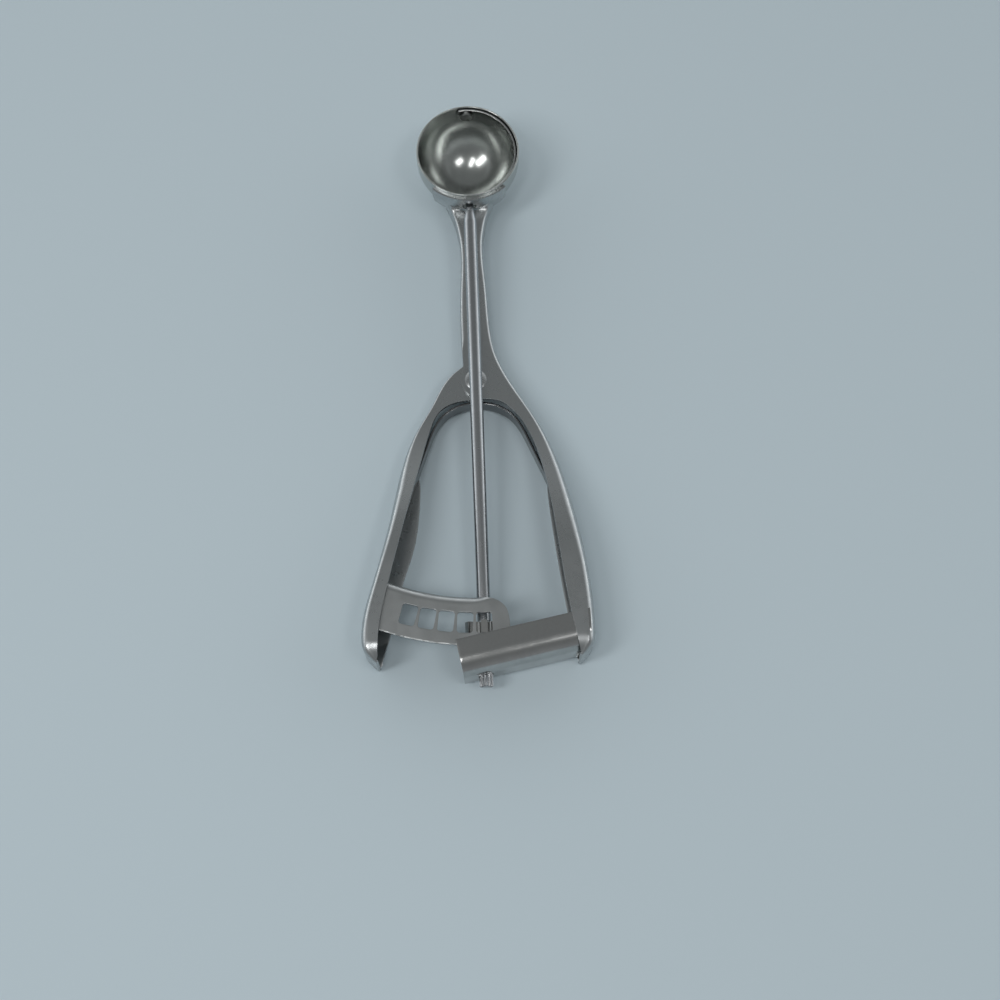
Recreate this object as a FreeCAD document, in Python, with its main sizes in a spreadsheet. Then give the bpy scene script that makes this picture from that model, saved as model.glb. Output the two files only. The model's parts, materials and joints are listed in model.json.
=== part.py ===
"""Lever ice cream scoop in stainless steel, built piece by piece.

The frame of the part: +Z is up from the surface that the scoop lies on, +Y runs along the
drive rod to the bowl, and +X is to the right of someone who holds the handles. The origin is
in the middle of the scoop's outline, on that surface. Sizes are in millimetres and degrees.
"""

import FreeCAD, Part
import math
import os

import Sketcher
from FreeCAD import Placement, Rotation, Vector

doc = FreeCAD.newDocument("LeverIceCreamScoop")

SIZES = (
    ("sheet_gauge", 0.9, "thickness of the stamped handle sheet"),
    ("part_gap", 0.3, "air between pieces that move past each other"),
    ("weld_gap", 0.1, "joint line between pieces welded together"),
    ("turn_fit", 0.1, "radial play of a turning fit"),
    ("bowl_radius", 16.2, "outside radius of the bowl"),
    ("bowl_wall", 0.8, "thickness of the bowl"),
    ("bowl_collar", 4.0, "straight part of the bowl above its centre"),
    ("bowl_reach", 73.5, "pivot to the centre of the bowl"),
    ("rod_slope", 3.284, "rise of the drive rod towards the bowl"),
    ("rod_radius", 2.0, "radius of the drive rod"),
    ("journal_radius", 1.1, "radius of the rod where it turns in the bowl"),
    ("journal_head", 1.7, "radius of the peened rod end inside the bowl"),
    ("head_height", 0.5, "height of the peened rod end"),
    ("rod_taper", 4.6, "length of the taper next to the bowl"),
    ("rod_stub", 4.3, "length of the rod that stands out of the gear cover"),
    ("tail_chamfer", 0.4, "bevel on the free end of the rod"),
    ("rack_radius", 77.65, "pivot to the pitch line of the rack"),
    ("rack_gauge", 1.0, "thickness of the rack plate"),
    ("rack_inside", 6.95, "pitch line to the rack plate's edge towards the pivot"),
    ("rack_outside", 6.65, "pitch line to the rack plate's far edge"),
    ("rack_tip_angle", 5.4, "angle of the rack plate's round end past the rod"),
    ("rack_root_angle", 27.0, "angle that the rack plate's root stays within"),
    ("rack_corner", 5.5, "corner radius of the rack plate's end"),
    ("rack_lip", 1.6, "depth of the lip turned down along the rack plate"),
    ("rack_tab", 5.5, "height of the rack plate's foot on the lever wall"),
    ("tab_setback", 3.0, "rack plate's far edge to its foot"),
    ("window_length", 6.1, "length of a rack window along the rod"),
    ("window_width", 4.7, "width of a rack window"),
    ("window_corner", 0.9, "corner radius of a rack window"),
    ("window_count", 5, "number of rack windows"),
    ("pinion_teeth", 6, "number of pinion teeth"),
    ("pinion_pitch", 5.25, "pitch radius of the pinion"),
    ("pinion_tip", 5.9, "tip radius of the pinion"),
    ("pinion_hub", 3.4, "root radius of the pinion"),
    ("tooth_root", 2.9, "width of a tooth at the root"),
    ("tooth_tip", 1.9, "width of a tooth at the tip"),
    ("pinion_lead", 1.35, "pitch line to the pinion's face towards the bowl"),
    ("pinion_length", 11.0, "length of the pinion with its hub"),
    ("tooth_length", 3.7, "length of the pinion's teeth"),
    ("blade_gauge", 0.5, "thickness of the wiper blade"),
    ("blade_width", 6.0, "width of the wiper blade"),
    ("blade_gap", 0.25, "air between the wiper blade and the bowl"),
    ("blade_eye", 3.1, "radius of the wiper blade's round ends"),
    ("pin_radius", 1.1, "radius of the wiper's far pivot pin"),
    ("pin_head", 1.9, "head radius of the far pivot pin"),
    ("pin_head_height", 0.7, "head height of the far pivot pin"),
    ("rivet_radius", 1.7, "shank radius of the pivot rivet"),
    ("rivet_head", 3.3, "head radius of the pivot rivet"),
    ("rivet_crown", 0.7, "height of the rivet's domed head"),
    ("rivet_room", 0.28, "air between the rivet's head and the rod"),
    ("washer_radius", 3.9, "outside radius of the pivot washer"),
    ("washer_gauge", 0.5, "thickness of the pivot washer"),
    ("web_nose", 4.6, "radius of the frame's nose round the rivet"),
    ("ear_radius", 6.2, "radius of the lever's ear round the rivet"),
    ("ear_gap", 0.1, "air between the lever's ear and the frame"),
    ("arch_top", 5.9, "pivot to the top of the arch between the handles"),
    ("level_half", 8.0, "half the length of the level top round the pivot"),
    ("climb_end", 60.0, "pivot to where the handles' top is level again"),
    ("neck_half", 3.8, "half the width of the neck"),
    ("neck_rise", 3.5, "rise of the neck from the pivot to the bowl"),
    ("neck_climb", 21.5, "centre of the bowl back to where the neck's climb ends"),
    ("skirt_level", 18.0, "pivot to where the walls' lower edge leaves the table"),
    ("skirt_lift", 2.2, "height of the walls' lower edge near the pivot"),
    ("skirt_rise", 7.4, "height of the walls' lower edge at the bowl"),
    ("skirt_end", 9.5, "centre of the bowl back to the end of the neck's walls"),
    ("cradle_angle", 42.0, "half the angle of the cradle round the bowl"),
    ("cradle_drop", 1.1, "bowl rim down to the edge of the cradle"),
    ("cradle_hem", 2.9, "neck's top down to the cradle's lower edge"),
    ("right_reach", 31.8, "rod to the outside of the right handle"),
    ("left_reach", 35.4, "rod to the outside of the left handle"),
    ("handle_beyond", 10.45, "pitch line of the rack to the tips of the handles"),
    ("edge_round", 0.8, "outside rounding along the handles"),
    ("cover_gauge", 0.9, "thickness of the gear cover"),
    ("cover_angle", 11.5, "turn of the gear cover in plan"),
    ("cover_beyond", 13.05, "pitch line of the rack to the cover's front face"),
    ("cover_depth", 9.6, "depth of the gear cover along the rod"),
    ("cover_left", 6.6, "rod to the cover's left end"),
    ("cover_foot", 2.6, "height of the cover's lower edge"),
    ("cover_fold", 3.2, "outside radius of the cover's fold"),
    ("spring_gauge", 0.7, "thickness of the return spring"),
    ("spring_foot", 1.3, "height of the spring's lower edge"),
    ("spring_room", 0.4, "air between the spring's upper edge and the lever's ear"),
    ("spring_drop", 1.1, "top of the arch to the spring"),
    ("spring_bow", 1.9, "air between the middle of a spring leg and its handle"),
)

sheet = doc.addObject("Spreadsheet::Sheet", "Sizes")
for row, (alias, amount, meaning) in enumerate(SIZES, start=1):
    sheet.set(f"A{row}", meaning)
    sheet.set(f"B{row}", str(amount))
    sheet.setAlias(f"B{row}", alias)
doc.recompute()


class Amount:
    """A length or an angle that keeps both its number and its formula in the sheet's cells."""

    def __init__(self, number, formula):
        self.number = float(number)
        self.formula = formula

    def __add__(self, other):
        other = amount_of(other)
        return Amount(self.number + other.number, f"({self.formula} + {other.formula})")

    def __sub__(self, other):
        other = amount_of(other)
        return Amount(self.number - other.number, f"({self.formula} - {other.formula})")

    def __mul__(self, other):
        other = amount_of(other)
        return Amount(self.number * other.number, f"({self.formula} * {other.formula})")

    def __truediv__(self, other):
        other = amount_of(other)
        return Amount(self.number / other.number, f"({self.formula} / {other.formula})")

    def __neg__(self):
        return Amount(-self.number, f"(0 - {self.formula})")

    def __float__(self):
        return self.number


def amount_of(thing):
    """A plain number as an amount; an amount stays as it is."""
    return thing if isinstance(thing, Amount) else Amount(thing, repr(float(thing)))


def cell(alias):
    """One size from the sheet, with its name as its formula."""
    return Amount(sheet.get(alias), f"Sizes.{alias}")


def size(alias):
    """One size from the sheet as a plain number, in millimetres or degrees."""
    return float(sheet.get(alias))


def root(amount):
    """The square root of an amount."""
    return Amount(math.sqrt(amount.number), f"sqrt({amount.formula})")


def sine(angle):
    """The sine of an angle in degrees."""
    return Amount(math.sin(math.radians(angle.number)), f"sin({angle.formula})")


def cosine(angle):
    """The cosine of an angle in degrees."""
    return Amount(math.cos(math.radians(angle.number)), f"cos({angle.formula})")


# Places worked out from the sizes

slope = cell("rod_slope")
slant = sine(slope) / cosine(slope)
rod_at_pivot = cell("bowl_radius") - cell("bowl_reach") * slant
web_top = rod_at_pivot - cell("rod_radius") / cosine(slope) - cell("rivet_room") - cell("rivet_crown")
ear_top = web_top - cell("sheet_gauge") - cell("ear_gap")
ear_under = ear_top - cell("sheet_gauge")
rack_top = (rod_at_pivot - cell("rack_radius") * slant + cell("pinion_pitch")
            + cell("rack_gauge") / 2)
cover_top = rack_top + cell("part_gap") + cell("cover_gauge")
cover_front = cell("rack_radius") + cell("cover_beyond")
rod_tail = cover_front + cell("rod_stub")
tail_length = (cell("bowl_reach") + rod_tail) / cosine(slope)
blade_outside = cell("bowl_radius") - cell("bowl_wall") - cell("blade_gap")
blade_inside = blade_outside - cell("blade_gauge")

gauge = size("sheet_gauge")
bowl_centre = Vector(0, size("bowl_reach"), size("bowl_radius"))
rim_height = bowl_centre.z + size("bowl_collar")
handle_height = cover_top.number + size("weld_gap") + gauge
neck_top = web_top.number + size("neck_rise")
neck = size("neck_half")
right = size("right_reach")
left = size("left_reach")
reach = size("bowl_reach")
end = size("rack_radius") + size("handle_beyond")
margin = size("ear_radius")
FAR = 2 * max(reach, end)
middle_shift = Vector((left - right) / 2,
                      (rod_tail.number - reach - size("bowl_radius") - size("pin_head_height")) / 2, 0)
in_plan = Placement(middle_shift, Rotation())
rod_turn = Rotation(Vector(1, 0, 0), size("rod_slope"))
along_rod = Placement(bowl_centre + middle_shift, rod_turn)
towards_bowl = Placement(bowl_centre, rod_turn.multiply(Rotation(Vector(1, 0, 0), -90)))
towards_tail = Placement(bowl_centre, rod_turn.multiply(Rotation(Vector(1, 0, 0), 90)))


# Pieces that are tied to the sheet: primitives, booleans and sketched bodies

def tied(kind, name, place=Placement(), **sizes):
    """A feature at a place, whose named properties follow amounts."""
    feature = doc.addObject(kind, name)
    for prop, amount in sizes.items():
        feature.setExpression(prop, amount_of(amount).formula)
    feature.Placement = place
    return feature


def joined(kind, name, base, tool):
    """A boolean of two features: Part::Fuse, Part::Cut or Part::Common."""
    feature = doc.addObject(kind, name)
    feature.Base = base
    feature.Tool = tool
    return feature


def shaped(name, shape):
    """A feature for a pressed or bent form that no sketch holds."""
    feature = doc.addObject("Part::Feature", name)
    feature.Shape = shape
    return feature


def arc_between(first, last, radius, side):
    """The short arc of one radius between two corners, bulging to the left or the right.

    It runs counter-clockwise, so it starts at the first corner only if it bulges to the right.
    """
    across = last - first
    aside = Vector(-across.y, across.x, 0).normalize() * side
    centre = first + across / 2 - aside * math.sqrt(radius ** 2 - (across.Length / 2) ** 2)
    start, stop = (first, last) if side < 0 else (last, first)
    turns = [math.atan2(spot.y - centre.y, spot.x - centre.x) for spot in (start, stop)]
    if turns[1] < turns[0]:
        turns[1] += 2 * math.pi
    return Part.ArcOfCircle(Part.Circle(centre, Vector(0, 0, 1), radius), *turns)


def sketched(body, plane, name, corners, lift=None):
    """A closed sketch on one of a body's planes, each corner tied to the sheet.

    A corner is (across, up), or (across, up, radius, side) where an arc leads to the next one:
    side is +1 where it bulges to the left of the way there, -1 to the right.
    """
    sketch = body.newObject("Sketcher::SketchObject", name)
    origin = [item for item in body.Origin.OriginFeatures if item.Role == plane][0]
    sketch.AttachmentSupport = (origin, [""])
    sketch.MapMode = "FlatFace"
    if lift is not None:
        sketch.setExpression("AttachmentOffset.Base.z", lift.formula)
    corners = [[amount_of(part) for part in corner] for corner in corners]
    spots = [Vector(corner[0].number, corner[1].number, 0) for corner in corners]
    starts, stops = [], []
    for number, corner in enumerate(corners):
        first, last = spots[number], spots[(number + 1) % len(spots)]
        if len(corner) == 4:
            arc = arc_between(first, last, corner[2].number, corner[3].number)
            edge = sketch.addGeometry(arc, False)
            turned_round = corner[3].number > 0
            row = sketch.addConstraint(Sketcher.Constraint("Radius", edge, corner[2].number))
            sketch.setExpression(f"Constraints[{row}]", corner[2].formula)
        else:
            edge = sketch.addGeometry(Part.LineSegment(first, last), False)
            turned_round = False
        starts.append((edge, 2 if turned_round else 1))
        stops.append((edge, 1 if turned_round else 2))
    for number, (edge, point) in enumerate(starts):
        sketch.addConstraint(Sketcher.Constraint("Coincident", *stops[number - 1], edge, point))
        for kind, axis, amount in (("DistanceX", -2, corners[number][0]),
                                   ("DistanceY", -1, corners[number][1])):
            if amount.number == 0:
                sketch.addConstraint(Sketcher.Constraint("PointOnObject", edge, point, axis))
            else:
                rule = Sketcher.Constraint(kind, -1, 1, edge, point, amount.number)
                row = sketch.addConstraint(rule)
                sketch.setExpression(f"Constraints[{row}]", amount.formula)
    return sketch


def new_body(name):
    """An empty body with its own origin."""
    body = doc.addObject("PartDesign::Body", name)
    body.Label = name
    return body


def turned_body(name, plane, corners):
    """A body turned about the sketch's upright axis from a closed profile."""
    body = new_body(name)
    sketch = sketched(body, plane, f"{name}_profile", corners)
    turning = body.newObject("PartDesign::Revolution", f"{name}_turning")
    turning.Profile = sketch
    turning.ReferenceAxis = (sketch, ["V_Axis"])
    turning.Angle = 360
    return body


# Drawing helpers: curves in plan, prisms from them, and slabs from side profiles

def spline(points):
    """A smooth edge through points of the plan."""
    curve = Part.BSplineCurve()
    curve.interpolate([Vector(x, y, 0) for x, y in points])
    return curve


def shares(side, points):
    """Points of a handle, given as shares of its reach from the rod and of its length."""
    return [(x * side, y * end) for x, y in points]


def beside(curve, distance, count=28):
    """The same curve moved sideways by a distance, to the right of its direction."""
    first, last = curve.FirstParameter, curve.LastParameter
    points = []
    for step in range(count + 1):
        where = first + (last - first) * step / count
        tangent = curve.tangent(where)[0]
        spot = curve.value(where)
        points.append((spot.x + tangent.y * distance, spot.y - tangent.x * distance))
    return spline(points)


def lines(*points):
    """Straight edges through points of the plan."""
    corners = [Vector(x, y, 0) for x, y in points]
    return [Part.LineSegment(a, b).toShape() for a, b in zip(corners, corners[1:])]


def ends(curve):
    """The first and the last point of a curve, as pairs."""
    first = curve.value(curve.FirstParameter)
    last = curve.value(curve.LastParameter)
    return (first.x, first.y), (last.x, last.y)


def curve_at(curve, height):
    """The point of a plan curve at one Y."""
    cut = Part.LineSegment(Vector(-FAR, height, 0), Vector(FAR, height, 0))
    spot = curve.intersect(cut)[0]
    return spot.X, spot.Y


def prism(edges, low, high):
    """The solid that stands on a closed outline, from one height to another."""
    face = Part.Face(Part.Wire(Part.__sortEdges__(edges)))
    solid = face.extrude(Vector(0, 0, high - low))
    solid.translate(Vector(0, 0, low))
    return solid


def eased(first, last, first_share, last_share, last_drop=0.0):
    """A Bezier edge in the YZ plane that leaves one point level and reaches another.

    The shares say how far along Y its two middle poles lie from their own end.
    """
    (y0, z0), (y1, z1) = first, last
    curve = Part.BezierCurve()
    curve.setPoles([Vector(0, y0, z0), Vector(0, y0 + (y1 - y0) * first_share, z0),
                    Vector(0, y1 - (y1 - y0) * last_share, z1 - last_drop), Vector(0, y1, z1)])
    return curve.toShape()


def below(drop, pivot_top):
    """Everything below the top face of a handle that is level at the pivot.

    The top is level round the pivot, climbs to the bowl along the neck and climbs the other
    way to the full height of the handle, each time along a curve that starts level.
    """
    low = pivot_top - drop
    bowl_low = low + size("neck_rise")
    high = handle_height - drop
    near, far = size("level_half"), size("climb_end")
    bowl_end = reach - size("neck_climb")
    last_drop = size("neck_rise") / 5
    lift = last_drop / (0.27 * (bowl_end - near)) * FAR
    corners = [(bowl_end + FAR, bowl_low + lift), (bowl_end + FAR, -FAR), (-FAR, -FAR), (-FAR, high)]
    edges = [eased((near, low), (bowl_end, bowl_low), 0.36, 0.27, last_drop),
             eased((-near, low), (-far, high), 0.42, 0.42)]
    spots = [Vector(0, y, z) for y, z in [(bowl_end, bowl_low)] + corners + [(-far, high)]]
    edges += [Part.LineSegment(a, b).toShape() for a, b in zip(spots, spots[1:])]
    edges += [Part.LineSegment(Vector(0, near, low), Vector(0, -near, low)).toShape()]
    face = Part.Face(Part.Wire(Part.__sortEdges__(edges)))
    slab = face.extrude(Vector(2 * FAR, 0, 0))
    slab.translate(Vector(-FAR, 0, 0))
    return slab


def above_skirt():
    """Everything above the lower edge of the turned-down walls: level, then rising to the bowl."""
    bowl_end = reach - size("skirt_end")
    spots = [(-FAR, 0), (-size("skirt_level"), 0), (size("level_half"), size("skirt_lift")),
             (bowl_end, size("skirt_rise")), (bowl_end, FAR), (-FAR, FAR), (-FAR, 0)]
    wire = Part.makePolygon([Vector(-FAR, y, z) for y, z in spots])
    return Part.Face(wire).extrude(Vector(2 * FAR, 0, 0))


def rounded(solid, wall, radius):
    """Rounds the long edges where the top and the floor of a handle meet its outer wall."""
    chosen = []
    wall_edge = wall.toShape()
    for edge in solid.Edges:
        halfway = (edge.FirstParameter + edge.LastParameter) / 2
        middle = edge.valueAt(halfway)
        flat = Part.Vertex(middle.x, middle.y, 0)
        steep = abs(edge.tangentAt(halfway).z) > 0.9
        if wall_edge.distToShape(flat)[0] < radius / 40 and not steep:
            chosen.append(edge)
    return solid.makeFillet(radius, chosen)


def room_inside(wall, distance, side):
    """The space inside a handle's wall, as far from the wall's outside as asked.

    The side is +1 for the handle on the right and -1 for the one on the left.
    """
    inner = beside(wall, side * distance)
    top, tip = ends(inner)
    edges = [inner.toShape()] + lines(top, (-side * FAR, top[1]), (-side * FAR, -end - margin),
                                      (tip[0], -end - margin), tip)
    return prism(edges, -1, FAR)


# The frame: cradle, neck, pivot web and right handle in one stamping

flare_radius = size("bowl_radius") + size("weld_gap") + gauge / 2
flare_angle = math.radians(size("cradle_angle"))
flare = (flare_radius * math.sin(flare_angle),
         reach - flare_radius * math.cos(flare_angle) + 1.6 * gauge)
throat = (neck + 3.1 * gauge, flare[1] - flare_radius * 0.352)

right_wall = spline([flare, throat, (neck * 1.08, reach * 2 / 3), (neck * 1.13, reach * 0.408),
                     (right * 0.2, reach * 0.122)]
                    + shares(right, [(0.575, -0.159), (0.899, -0.55), (1, -0.904), (0.972, -0.964),
                                     (0.868, -1)]))
left_neck = spline([(-flare[0], flare[1]), (-throat[0], throat[1]), (-neck * 1.05, reach * 2 / 3),
                    (-neck, reach * 0.408), (-neck, size("level_half") + gauge / 2)])
right_arch = spline([(0, -size("arch_top"))]
                    + shares(right, [(0.195, -0.077), (0.346, -0.116), (0.478, -0.192), (0.575, -0.295),
                                     (0.689, -0.55), (0.783, -0.84), (0.855, -0.983)]))
right_floor = spline(shares(right, [(0.629, -0.25), (0.648, -0.386), (0.704, -0.608), (0.786, -0.84),
                                    (0.846, -0.977)]))


def bowl_outside(radius):
    """A ball with a straight collar on it, as large as the outside of the bowl."""
    ball = Part.makeSphere(radius, bowl_centre)
    collar = Part.makeCylinder(radius, FAR, bowl_centre)
    return ball.fuse(collar)


def cradle():
    """The part of the frame that wraps the bowl below its rim, between two heights."""
    inner = size("bowl_radius") + size("weld_gap")
    shell = bowl_outside(inner + gauge).cut(bowl_outside(inner))
    wide = 2 * inner
    across, back = wide * math.sin(flare_angle), bowl_centre.y - wide * math.cos(flare_angle)
    foot = neck_top - size("cradle_hem")
    wedge = Part.Face(Part.makePolygon([
        Vector(0, bowl_centre.y, foot), Vector(-across, back, foot), Vector(across, back, foot),
        Vector(0, bowl_centre.y, foot)]))
    return shell.common(wedge.extrude(Vector(0, 0, rim_height - size("cradle_drop") - foot)))


def frame_channel():
    """The frame before it is cut for the bowl, the rod and the rivet.

    It is a channel of one gauge: an outline filled to the top profile, with the same shape one
    gauge smaller taken out of it, open at the inside of the handle and underneath the neck.
    """
    nose = size("web_nose")
    nose_top = 0.74 * nose
    arch_start, arch_end = ends(right_arch)
    wall_start, wall_end = ends(right_wall)
    neck_start, neck_end = ends(left_neck)
    nose_curve = spline([(-neck, nose_top), (-nose, 0), (-nose * 0.72, -nose * 0.8), arch_start])
    outline = [right_wall.toShape(), left_neck.toShape(), nose_curve.toShape(), right_arch.toShape()]
    outline += lines(wall_start, neck_start) + lines(neck_end, (-neck, nose_top))
    outline += lines(wall_end, arch_end)
    blank = prism(outline, -1, FAR).common(below(0, web_top.number)).common(above_skirt())
    blank = rounded(blank, right_wall, size("edge_round"))

    inner_wall = beside(right_wall, gauge)
    inner_neck = beside(left_neck, -gauge)
    wall_top, wall_tip = ends(inner_wall)
    neck_start, neck_foot = ends(inner_neck)
    inside = [inner_wall.toShape(), inner_neck.toShape()]
    inside += lines(wall_top, (wall_top[0] + gauge, wall_top[1] + margin),
                    (neck_start[0] - gauge, neck_start[1] + margin), neck_start)
    inside += lines(neck_foot, (-3 * neck, neck_foot[1]), (-3 * neck, -2 * margin),
                    (right * 0.38, -end * 0.227), (right * 0.56, -end - margin),
                    (wall_tip[0], -end - margin), wall_tip)
    hollow = prism(inside, -1, FAR).common(below(gauge, web_top.number))
    floor_start, floor_end = ends(right_floor)
    floor = [right_floor.toShape()] + lines(floor_start, (right + margin, floor_start[1]),
                                            (right + margin, -end - margin),
                                            (floor_end[0], -end - margin), floor_end)
    hollow = hollow.cut(prism(floor, -2, gauge))
    return blank.cut(hollow).fuse(cradle()).removeSplitter()


def handle_frame():
    """The frame, cut for the bowl, with a slot for the rod and a hole for the rivet."""
    bowl_seat = cell("bowl_radius") + cell("weld_gap")
    tools = doc.addObject("Part::MultiFuse", "frame_cuts")
    tools.Shapes = [
        tied("Part::Sphere", "seat_ball", Placement(bowl_centre, Rotation()), Radius=bowl_seat),
        tied("Part::Cylinder", "seat_collar", Placement(bowl_centre, Rotation()), Radius=bowl_seat,
             Height=cell("bowl_radius")),
        tied("Part::Cylinder", "rod_slot", towards_tail, Radius=cell("rod_radius") + cell("part_gap"),
             Height=tail_length + cell("rod_stub")),
        tied("Part::Cylinder", "frame_rivet_hole", Radius=cell("rivet_radius"),
             Height=rod_at_pivot)]
    return joined("Part::Cut", "handle_frame", shaped("frame_channel", frame_channel()), tools)


# The squeeze lever: the left handle with its ear round the rivet

left_wall = spline([(-size("ear_radius") * 0.548, size("ear_radius") * 0.839)]
                   + shares(left, [(-0.22, 0.023), (-0.384, -0.085), (-0.537, -0.193),
                                   (-0.763, -0.528), (-0.907, -0.738), (-1, -0.904),
                                   (-0.975, -0.964), (-0.881, -1)]))
left_arch = spline([(0, -size("arch_top") - size("ear_gap"))]
                   + shares(left, [(-0.215, -0.083), (-0.322, -0.111), (-0.398, -0.17),
                                   (-0.463, -0.259), (-0.678, -0.59), (-0.774, -0.74),
                                   (-0.856, -0.897), (-0.87, -0.983)]))
left_floor = spline(shares(left, [(-0.537, -0.227), (-0.503, -0.341), (-0.573, -0.577),
                                  (-0.684, -0.713), (-0.791, -0.886), (-0.862, -0.977)]))


def lever_channel():
    """The left handle with its ear: the same channel as the frame, with its own outline."""
    start, tip = ends(left_wall)
    arch_start, arch_tip = ends(left_arch)
    ear_edge = Part.Arc(Vector(start[0], start[1], 0), Vector(size("ear_radius"), 0, 0),
                        Vector(arch_start[0], arch_start[1], 0)).toShape()
    outline = [left_wall.toShape(), left_arch.toShape(), ear_edge] + lines(tip, arch_tip)
    blank = prism(outline, -1, FAR).common(below(0, ear_top.number)).common(above_skirt())
    blank = rounded(blank, left_wall, size("edge_round"))

    inner_wall = beside(left_wall, -gauge)
    wall_top, wall_tip = ends(inner_wall)
    wide = 2 * margin
    inside = [inner_wall.toShape()]
    inside += lines(wall_top, (wall_top[0] + margin / 2, wide), (wide, wide), (wide, -wide),
                    (-left * 0.34, -end * 0.227), (-left * 0.56, -end - margin),
                    (wall_tip[0], -end - margin), wall_tip)
    hollow = prism(inside, -1, FAR).common(below(gauge, ear_top.number))
    floor_start, floor_end = ends(left_floor)
    floor = [left_floor.toShape()] + lines(floor_start, (-left - margin, floor_start[1]),
                                           (-left - margin, -end - margin),
                                           (floor_end[0], -end - margin), floor_end)
    return blank.cut(hollow.cut(prism(floor, -2, gauge)))


def squeeze_lever():
    """The lever, drilled to turn on the rivet."""
    hole = tied("Part::Cylinder", "ear_hole", Radius=cell("rivet_radius") + cell("turn_fit"),
                Height=web_top)
    return joined("Part::Cut", "squeeze_lever", shaped("lever_channel", lever_channel()), hole)


# The rack: a curved plate with windows, welded to the lever's wall

def on_ring(radius, angle):
    """A point of a circle round the pivot; angles grow from the -Y direction towards +X."""
    return radius * sine(angle), -(radius * cosine(angle))


def rack_blank():
    """The flat plate with its round corners and its row of windows."""
    near, far = cell("rack_radius") - cell("rack_inside"), cell("rack_radius") + cell("rack_outside")
    tip, back = cell("rack_tip_angle"), -cell("rack_root_angle")
    body = new_body("rack_blank")
    sector = sketched(body, "XY_Plane", "rack_sector",
                      [(*on_ring(near, back), near, -1), on_ring(near, tip),
                       (*on_ring(far, tip), far, 1), on_ring(far, back)],
                      lift=rack_top - cell("rack_gauge"))
    plate = body.newObject("PartDesign::Pad", "rack_sheet")
    plate.Profile = sector
    plate.setExpression("Length", cell("rack_gauge").formula)
    doc.recompute()
    corners = body.newObject("PartDesign::Fillet", "rack_corners")
    names = [f"Edge{number}" for number, edge in enumerate(plate.Shape.Edges, start=1)
             if abs(edge.tangentAt(edge.FirstParameter).z) > 0.99 and edge.CenterOfMass.x > 0]
    corners.Base = (plate, names)
    corners.setExpression("Radius", cell("rack_corner").formula)
    doc.recompute()

    half_wide, half_long = cell("window_width") / 2, cell("window_length") / 2
    corner = cell("window_corner")
    top, foot = half_long - cell("rack_radius"), -half_long - cell("rack_radius")
    hole = sketched(body, "XY_Plane", "rack_window",
                    [(-half_wide, foot + corner), (-half_wide, top - corner, corner, 1),
                     (corner - half_wide, top), (half_wide - corner, top, corner, 1),
                     (half_wide, top - corner), (half_wide, foot + corner, corner, 1),
                     (half_wide - corner, foot), (corner - half_wide, foot, corner, 1)],
                    lift=rack_top)
    window = body.newObject("PartDesign::Pocket", "rack_hole")
    window.Profile = hole
    window.setExpression("Length", (cell("rack_gauge") * 2).formula)
    doc.recompute()
    row = body.newObject("PartDesign::PolarPattern", "rack_row")
    row.Originals = [window]
    row.Axis = (hole, ["N_Axis"])
    row.Reversed = True
    step = Amount(360, "360") / cell("pinion_teeth") * cell("pinion_pitch") / cell("rack_radius")
    row.setExpression("Angle", (step * (cell("window_count") - 1)).formula)
    row.setExpression("Occurrences", cell("window_count").formula)
    body.Tip = row
    return body


def ring_sector(inner, outer, first, last, low, high):
    """A flat ring piece round the pivot; angles grow from the -Y direction towards +X."""
    def spot(radius, angle):
        turn = math.radians(angle)
        return Vector(radius * math.sin(turn), -radius * math.cos(turn), low)
    middle = (first + last) / 2
    edges = [Part.Arc(spot(inner, first), spot(inner, middle), spot(inner, last)).toShape(),
             Part.LineSegment(spot(inner, last), spot(outer, last)).toShape(),
             Part.Arc(spot(outer, last), spot(outer, middle), spot(outer, first)).toShape(),
             Part.LineSegment(spot(outer, first), spot(inner, first)).toShape()]
    return Part.Face(Part.Wire(edges)).extrude(Vector(0, 0, high - low))


def rack_flanges(seat):
    """The rack plate's lip towards the pivot and its foot along the lever's wall."""
    thick = size("rack_gauge")
    low = rack_top.number - thick
    inner = size("rack_radius") - size("rack_inside")
    outer = size("rack_radius") + size("rack_outside") - size("tab_setback")
    back = -size("rack_root_angle")
    lip_end = -size("rack_tip_angle") * 0.37
    lip = ring_sector(inner, inner + thick, back, lip_end, low - size("rack_lip"), low)
    foot = ring_sector(inner, outer, back, 0, low - size("rack_tab"), low)
    wall_side = room_inside(left_wall, gauge + size("weld_gap") + thick, -1)
    return lip.common(seat).fuse(foot.common(seat.cut(wall_side)))


def rack_plate():
    """The rack, trimmed to the lever's wall, with its lip and its foot turned down."""
    seat = room_inside(left_wall, gauge + size("weld_gap"), -1)
    plate = joined("Part::Common", "rack_trimmed", rack_blank(), shaped("rack_seat", seat))
    return joined("Part::Fuse", "rack_plate", plate, shaped("rack_flanges", rack_flanges(seat)))


# The gear cover: a folded bracket welded into the right handle, bored for the rod

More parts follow.
